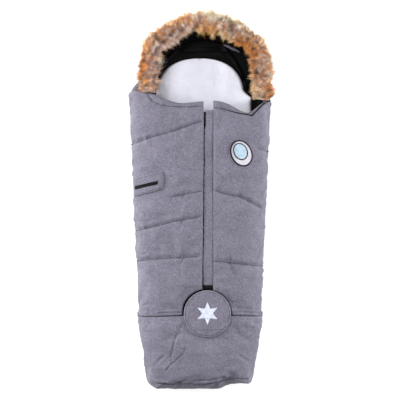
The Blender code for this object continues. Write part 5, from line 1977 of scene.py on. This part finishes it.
@dataclass(frozen=True)
class Badge:
    """The oval badge on the right panel, bare: a grey twill oval, overlocked, with a pale oval on it."""

    form: BagForm
    finishes: Finishes
    x: float = 117 * MM
    y: float = 132 * MM
    half_width: float = 29.5 * MM
    half_length: float = 38 * MM
    tilt: float = math.radians(26.0)
    face_share: float = 0.62
    face_up: float = 5.4 * MM
    sides: int = 144

    def at(self, across: Points, along: Points, lift: Points | float) -> Points:
        """Points at offsets across and along the badge, at a height over the panel."""
        x = self.x + across * math.cos(self.tilt) - along * math.sin(self.tilt)
        y = self.y + across * math.sin(self.tilt) + along * math.cos(self.tilt)
        return np.stack([x, y, self.form.front_height(x, y) + lift], -1)

    def oval(self, share: float, up: float, low: float, high: float, dome: float) -> Shape:
        """A closed oval plate: rings of the ellipse from its middle out, over a flat underside."""
        angle = np.linspace(0.0, 2 * math.pi, self.sides + 1)[:-1]
        reach = np.concatenate([np.linspace(0.02, 0.95, 26), [0.98, 1.0]])[:, None]
        across = reach * share * self.half_width * np.cos(angle)
        along = reach * share * self.half_length * np.sin(angle) + up
        rise = high - low + dome * (1.0 - reach**2)
        rim = bow(np.clip((reach - 0.93) / 0.07, 0.0, 1.0), 2.0)
        top = self.at(across, along, low + rise * np.maximum(rim, 0.15))
        under = self.at(across, along, np.full(across.shape, low))
        grid = np.concatenate([top, under[::-1]])
        faces = grid_faces(len(grid), self.sides, wrap=True)
        ends = fan(self.sides), fan(self.sides, (len(grid) - 1) * self.sides, up=True)
        return grid.reshape(-1, 3), np.concatenate([faces, *ends])

    def edge(self, share: float, up: float, height: float, radius: float, threads: int) -> Shape:
        """An overlocked edge: a tube round the oval, ribbed once for each turn of thread."""
        angle = np.linspace(0.0, 2 * math.pi, threads * 6 + 1)[:-1]
        across = share * self.half_width * np.cos(angle)
        along = share * self.half_length * np.sin(angle) + up
        ribs = radius * (1.0 + 0.16 * np.cos(angle * threads))
        return tube(self.at(across, along, height), UPWARDS, ribs, 8, closed=True)

    def build(self) -> None:
        """Makes the backing with its edge, and the face with its outline."""
        body, coats, up = "right_front", self.finishes, self.face_up
        oval = self.oval(0.97, 0.0, 0.8 * MM, 2.3 * MM, 0.3 * MM)
        add_closed("badge_twill_oval", oval, coats.patch_ring, body, "patch_grey", "badge_backing")
        edge = self.edge(0.965, 0.0, 1.9 * MM, 1.9 * MM, 120)
        add_closed("badge_overlock", edge, coats.patch_edge, body, "black_lining")
        oval = self.oval(self.face_share, up, 2.4 * MM, 3.6 * MM, 0.3 * MM)
        add_closed("badge_satin_oval", oval, coats.patch_face, body, "patch_blue", "badge_face")
        edge = self.edge(self.face_share, up, 3.1 * MM, 1.5 * MM, 90)
        add_closed("badge_face_outline", edge, coats.patch_edge, body, "black_lining")


# The studio


@dataclass(frozen=True)
class Studio:
    """White paper seen from straight above, under a soft key from the upper left, a fill and two strips."""

    frame_width: float = 1.14
    camera_z: float = 6.0
    picture_z: float = 0.06
    floor_half: float = 6.0
    film: float = 36.0

    def build(self) -> None:
        """Sets up the camera, the floor, the world and the lights."""
        scene = bpy.context.scene
        scene.view_settings.view_transform = "Standard"
        lens = bpy.data.cameras.new("camera")
        lens.sensor_width = self.film
        lens.lens = self.film * (self.camera_z - self.picture_z) / self.frame_width
        camera = bpy.data.objects.new("camera", lens)
        camera.location = (0.0, 0.0, self.camera_z)
        scene.collection.objects.link(camera)
        scene.camera = camera
        self.floor()
        self.world()
        self.light("key", (-1.35, 1.7, 2.8), 1.5, 84.0)
        self.light("fill", (1.7, -0.6, 2.6), 2.2, 13.0)
        self.light("left_strip", (-2.3, 0.2, 0.8), 1.0, 82.0)
        self.light("right_strip", (2.3, 0.0, 0.7), 1.0, 70.0)

    def floor(self) -> None:
        """A wide white floor that reads as paper white and still takes the object's shadow."""
        made = bpy.data.materials.new("white_paper")
        made.use_nodes = True
        tree = made.node_tree
        tree.nodes.clear()
        path = add_node(tree, "ShaderNodeLightPath")
        plain = add_node(tree, "ShaderNodeBsdfDiffuse", {"Color": (0.78, 0.78, 0.78, 1.0)})
        dim = add_node(tree, "ShaderNodeBsdfDiffuse", {"Color": (0.34, 0.34, 0.34, 1.0)})
        glow = add_node(tree, "ShaderNodeEmission", {"Color": (1.0, 1.0, 1.0, 1.0), "Strength": 0.80})
        seen = add_node(tree, "ShaderNodeAddShader", {0: dim.outputs[0], 1: glow.outputs[0]})
        look = maths(tree, "MAXIMUM", path.outputs["Is Camera Ray"], path.outputs["Is Transmission Ray"])
        either = {0: look, 1: plain.outputs[0], 2: seen.outputs[0]}
        chosen = add_node(tree, "ShaderNodeMixShader", either)
        add_node(tree, "ShaderNodeOutputMaterial", {"Surface": chosen.outputs[0]})
        corners = np.array([(-1, -1, 0), (1, -1, 0), (1, 1, 0), (-1, 1, 0)]) * self.floor_half
        floor = add_object("floor", corners, [(0, 1, 2, 3)])
        floor.data.materials.append(made)

    def world(self) -> None:
        """A white sky, brighter to the eye than as a light."""
        world = bpy.data.worlds.new("white_sky")
        world.use_nodes = True
        tree = world.node_tree
        tree.nodes.clear()
        path = add_node(tree, "ShaderNodeLightPath")
        sky = add_node(tree, "ShaderNodeBackground", {"Color": (0.97, 0.98, 1.0, 1.0), "Strength": 0.42})
        paper = add_node(tree, "ShaderNodeBackground", {"Color": (1.0, 1.0, 1.0, 1.0), "Strength": 1.05})
        either = {0: path.outputs["Is Camera Ray"], 1: sky.outputs[0], 2: paper.outputs[0]}
        chosen = add_node(tree, "ShaderNodeMixShader", either)
        add_node(tree, "ShaderNodeOutputWorld", {"Surface": chosen.outputs[0]})
        bpy.context.scene.world = world

    def light(self, name: str, place: tuple[float, float, float], size: float, power: float) -> None:
        """One square area light that looks at the middle of the bag."""
        made = bpy.data.lights.new(name, "AREA")
        made.size = size
        made.energy = power
        lamp = bpy.data.objects.new(name, made)
        lamp.location = place
        aim = -mathutils.Vector(place)
        lamp.rotation_euler = aim.to_track_quat("-Z", "Y").to_euler()
        bpy.context.scene.collection.objects.link(lamp)


# Putting it together


def plan(*pairs: Span) -> Trace:
    """A trace from pairs in millimetres."""
    return Trace(tuple((x * MM, y * MM) for x, y in pairs))


def seam(depth: float, width: float, *pairs: Span, fade: float = 14) -> Seam:
    """A seam or crease from millimetres: its depth, its width and the points that it runs through."""
    return Seam(plan(*pairs), depth * MM, width * MM, fade * MM)


RIGHT_NECK = Neck(side_y=291 * MM, dip=41 * MM, dip_share=0.63, outer=0.155)
LINING_UPPER = 29.3 * MM
LINING_LOWER = 31.3 * MM


def linings(form: BagForm, finishes: Finishes) -> None:
    """The black linings under the three padded panels."""
    left = FrontPanel(form, side=-1, edge_x=6 * MM, bitten=False)
    right = FrontPanel(form, side=1, edge_x=37.5 * MM, neck=RIGHT_NECK, bitten=False)
    for name, panel, cut in (
        ("left", left, (0.28, 0.66)),
        ("right", right, (0.25, 0.64)),
        ("foot", FootPanel(form), (0.46, 0.30)),
    ):
        u, v = np.meshgrid(np.linspace(0.0, 1.0, 90), np.linspace(0.0, 1.0, 150))
        outer = panel.surface(u, v, LINING_UPPER)
        inner = panel.surface(u, v, LINING_LOWER)
        sag = np.minimum(0.0, 0.8 * MM * Ripple(16 * MM, 160).at(outer))
        outer = outer + normals_of(outer) * sag[..., None]
        sheet = add_piece(f"{name}_lining_cloth", *thick_sheet(outer, inner), finishes.lining)
        set_out(outward(sheet), f"{name}_front", "black_lining", f"{name}_front_lining")


def padded_fronts(form: BagForm, finishes: Finishes) -> None:
    """The left, right and foot panels with their seams, creases and stitches, and the neck's piping. The
    stitches are near black as painted shadow in the seams, and the piping is part lining edge, part painted
    shadow under the hem.
    """
    left = FrontPanel(
        form,
        side=-1,
        edge_x=9.4 * MM,
        edge_limit=10.4 * MM,
        slant=0.0118,
        clearance=4.6 * MM,
        seed=3,
        seams=(
            seam(7, 6, (-200, 157), (-128, 180), (-85, 192), (-40, 207), (6, 224)),
            seam(6, 6, (-81, 9), (-40, 17), (6, 26)),
            seam(6, 6, (-182, -88), (-120, -73), (-71, -60), (0, -48)),
            seam(6, 7, (-182, -174), (-100, -165), (0, -160)),
            seam(
                6.2, 3.8, (-175, 322), (-155, 308), (-134, 281), (-113, 269), (-90, 265), (-39, 263),
                (6, 265), fade=4,
            ),
        ),
        creases=(
            seam(2.6, 3, (-94, 185), (-50, 177), (-14, 172)),
            seam(2.2, 3, (-177, -14), (-160, -32), (-150, -45)),
            seam(2.2, 3, (-171, -157), (-150, -150)),
            seam(2.2, 3, (-180, -308), (-150, -296)),
            seam(6.4, 2.2, (-118, -320), (-80, -319), (-48, -318), fade=6),
            seam(2.4, 4, (-183, 8), (-160, 17), (-118, 30)),
            seam(1.6, 3, (-60, 148), (-24, 154), (4, 158)),
        ),
        calm=(
            Calm(-148 * MM, 40 * MM, 40 * MM),
            Calm(-120 * MM, 45 * MM, 30 * MM),
            Calm(-172 * MM, 38 * MM, 30 * MM),
        ),
    )
    right = FrontPanel(
        form,
        side=1,
        edge_x=37.5 * MM,
        clearance=1.8 * MM,
        seed=7,
        neck=RIGHT_NECK,
        seams=(
            seam(7, 7, (37, 29), (71, 17), (114, 9), (182, -26)),
            seam(6, 7, (200, 138), (186, 140), (160, 148)),
            seam(5, 7, (37, -172), (100, -180), (182, -188)),
            seam(
                6.2, 3.8, (37, 262), (68, 256), (107, 246), (148, 239), (174, 267), (186, 277),
                (204, 283), fade=4,
            ),
        ),
        creases=(
            seam(2.0, 3, (83, 26), (114, 28)),
            seam(5.2, 2.2, (184, -324), (120, -316), (92, -317), fade=8),
        ),
        calm=(Calm(117 * MM, 132 * MM, 40 * MM),),
    )
    foot = FootPanel(
        form,
        seed=12,
        seams=(
            seam(5, 3.2, (-118, -520), (-60, -523), (10, -523), (50, -516), (84, -506), (120, -507)),
        ),
        creases=(
            seam(3.0, 3.2, (-49, -346), (-62, -372), (-73, -400), (-82, -446)),
            seam(2.6, 2.8, (-38, -398), (-45, -431), (-83, -466), (-98, -484)),
            seam(2.0, 4, (-100, -440), (-124, -462)),
            seam(2.2, 4, (108, -437), (140, -459)),
            seam(3.0, 2.6, (-20, -512), (30, -509), (74, -500)),
            seam(2.4, 2.6, (-96, -510), (-66, -516), (-40, -511)),
        ),
        calm=(Calm(21 * MM, -322 * MM, 68 * MM),),
    )
    surfaces = {}
    # Painted shadow: the quilting stitches are thick and near black, in place of the shadowed slit along each
    # seam.
    sewing = Stitching(length=3.8 * MM, gap=0.7 * MM, radius=0.85 * MM)
    for name, panel in (("left", left), ("right", right), ("foot", foot)):
        outer, inner = panel.built()
        piece = outward(add_piece(f"padded_{name}_panel", *thick_sheet(outer, inner), finishes.melange))
        set_out(piece, f"{name}_front", "grey_melange", f"{name}_front_shell", f"{name}_front_wadding")
        surfaces[name] = Surface(outer)
        paths = [sewn.trace.walk(1.5 * MM) for sewn in panel.seams]
        rows = [sewing.row(*surfaces[name].laid(path, 0.3 * MM)) for path in paths]
        thread = add_piece(f"{name}_quilting_stitches", *merged(*rows), finishes.dark_thread)
        set_out(thread, f"{name}_front", "grey_melange")
    # The black piping along the right neck is partly the lining's edge and partly painted shadow under the
    # folded hem.
    edge = plan((58, 259), (107, 246), (148, 239), (160, 251), (174, 267), (186, 277), (201, 283))
    path, _ = surfaces["right"].laid(edge.walk(2 * MM), 0.6 * MM)
    girth = mix(0.7 * MM, 1.7 * MM, smooth(0.0, 0.5, np.linspace(0.0, 1.0, len(path))))
    piping = tube(path, UPWARDS, girth, 8)
    add_closed("right_neck_piping", piping, finishes.lining, "right_front", "black_lining")


def zips(finishes: Finishes) -> None:
    """The centre zip's two rows and the foot zips' four."""
    middle, low, high, height = 13 * MM, -241 * MM, 236 * MM, 99.5 * MM
    foot_y, foot_height = -320 * MM, 92 * MM
    foot = (middle, low)
    rows = [
        ZipRow("left_zip", foot, (middle, high), -1.0, height, 6.4 * MM, "left_front", 0.25),
        ZipRow("right_zip", foot, (middle, high + 13 * MM), 1.0, height, 23.8 * MM, "right_front", 0.75),
    ]
    for side, sign in (("left", -1), ("right", 1)):
        knee = ("knee", -1.0, 15.5, f"{side}_front", 0.75)
        toe = ("toe", 1.0, 1.0, "foot_front", 0.25)
        for panel, toward, start, body, phase in (knee, toe):
            first, last = sorted((21 * MM + sign * start * MM, sign * 112 * MM))
            name = f"{side}_{panel}_zip"
            ends = (first, foot_y), (last, foot_y)
            rows.append(ZipRow(name, *ends, toward, foot_height, 5.2 * MM, body, phase))
    for row in rows:
        row.teeth(finishes)
        row.tape(finishes)


SHARP = math.radians(40)


def softened(node: str, radius: float, coat: Coat, body: str, slot: str) -> None:
    """A cast or moulded part with its sharp edges rounded off, in place of its plain form."""
    mesh = bpy.data.objects[node].data.copy()
    mesh.materials.clear()
    mesh.materials.append(coat)
    piece = bpy.data.objects.new(f"{node}_cast", mesh)
    bpy.context.scene.collection.objects.link(piece)
    outward(piece)
    bevel = piece.modifiers.new("edges", "BEVEL")
    bevel.width = radius
    bevel.segments = 3
    bevel.limit_method = "ANGLE"
    bevel.angle_limit = SHARP
    finish_modifiers(piece)
    piece.data.shade_smooth()
    set_out(piece, body, slot, node)


def hard_parts(finishes: Finishes) -> None:
    """The sliders, the pulls and the stop."""
    for name in ("centre", "left_foot", "right_foot"):
        softened(f"{name}_slider", 0.35 * MM, finishes.metal, f"{name}_slider", "dark_metal")
        softened(f"{name}_pull", 0.35 * MM, finishes.teeth, f"{name}_pull", "zip_plastic")
    softened("zip_bottom_stop", 0.5 * MM, finishes.teeth, "right_front", "zip_plastic")


def main() -> None:
    """Builds the footmuff and its studio."""
    logging.basicConfig(level=logging.INFO, format="%(message)s")
    form = BagForm()
    hood_form = HoodForm()
    finishes = Finishes.make()
    slots = [Slot("crotch", 0.0, -165 * MM, 30 * MM, 10 * MM)]
    for side, sign in (("left", -1), ("right", 1)):
        slots.append(Slot(f"shoulder_{side}", sign * 62 * MM, 185 * MM, 30 * MM, 10 * MM))
        slots.append(Slot(f"hip_{side}", sign * 86 * MM, -115 * MM, 10 * MM, 30 * MM))
    folds = (
        seam(4.0, 3.5, (-48, 424), (-10, 433), (40, 434), (78, 424), fade=24),
        seam(5.0, 4.0, (70, 436), (96, 404), (114, 370), (122, 345), fade=24),
        seam(3.5, 3.5, (52, 420), (82, 398), (98, 378), fade=20),
        seam(4.5, 4.0, (-66, 432), (-96, 402), (-112, 372), fade=24),
        seam(4.0, 4.0, (128, 336), (136, 300), (134, 268), fade=20),
    )
    back = BackBag(form, finishes, tuple(slots), folds)
    back.shell()
    back.lining_sheet()
    back.bindings()
    fleece = FleeceLiner(finishes).build()
    back.cut(fleece)
    set_out(fleece, "back", "white_fleece", "fleece_liner")
    linings(form, finishes)
    padded_fronts(form, finishes)
    zips(finishes)
    Placket(finishes).build()
    RoundCover(form, finishes).build()
    Pocket(form, finishes).build()
    Badge(form, finishes).build()
    Hood(hood_form, finishes).build()
    FurTrim(hood_form, finishes).build()
    hard_parts(finishes)
    Studio().build()


if __name__ == "__main__":
    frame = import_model()
    main()
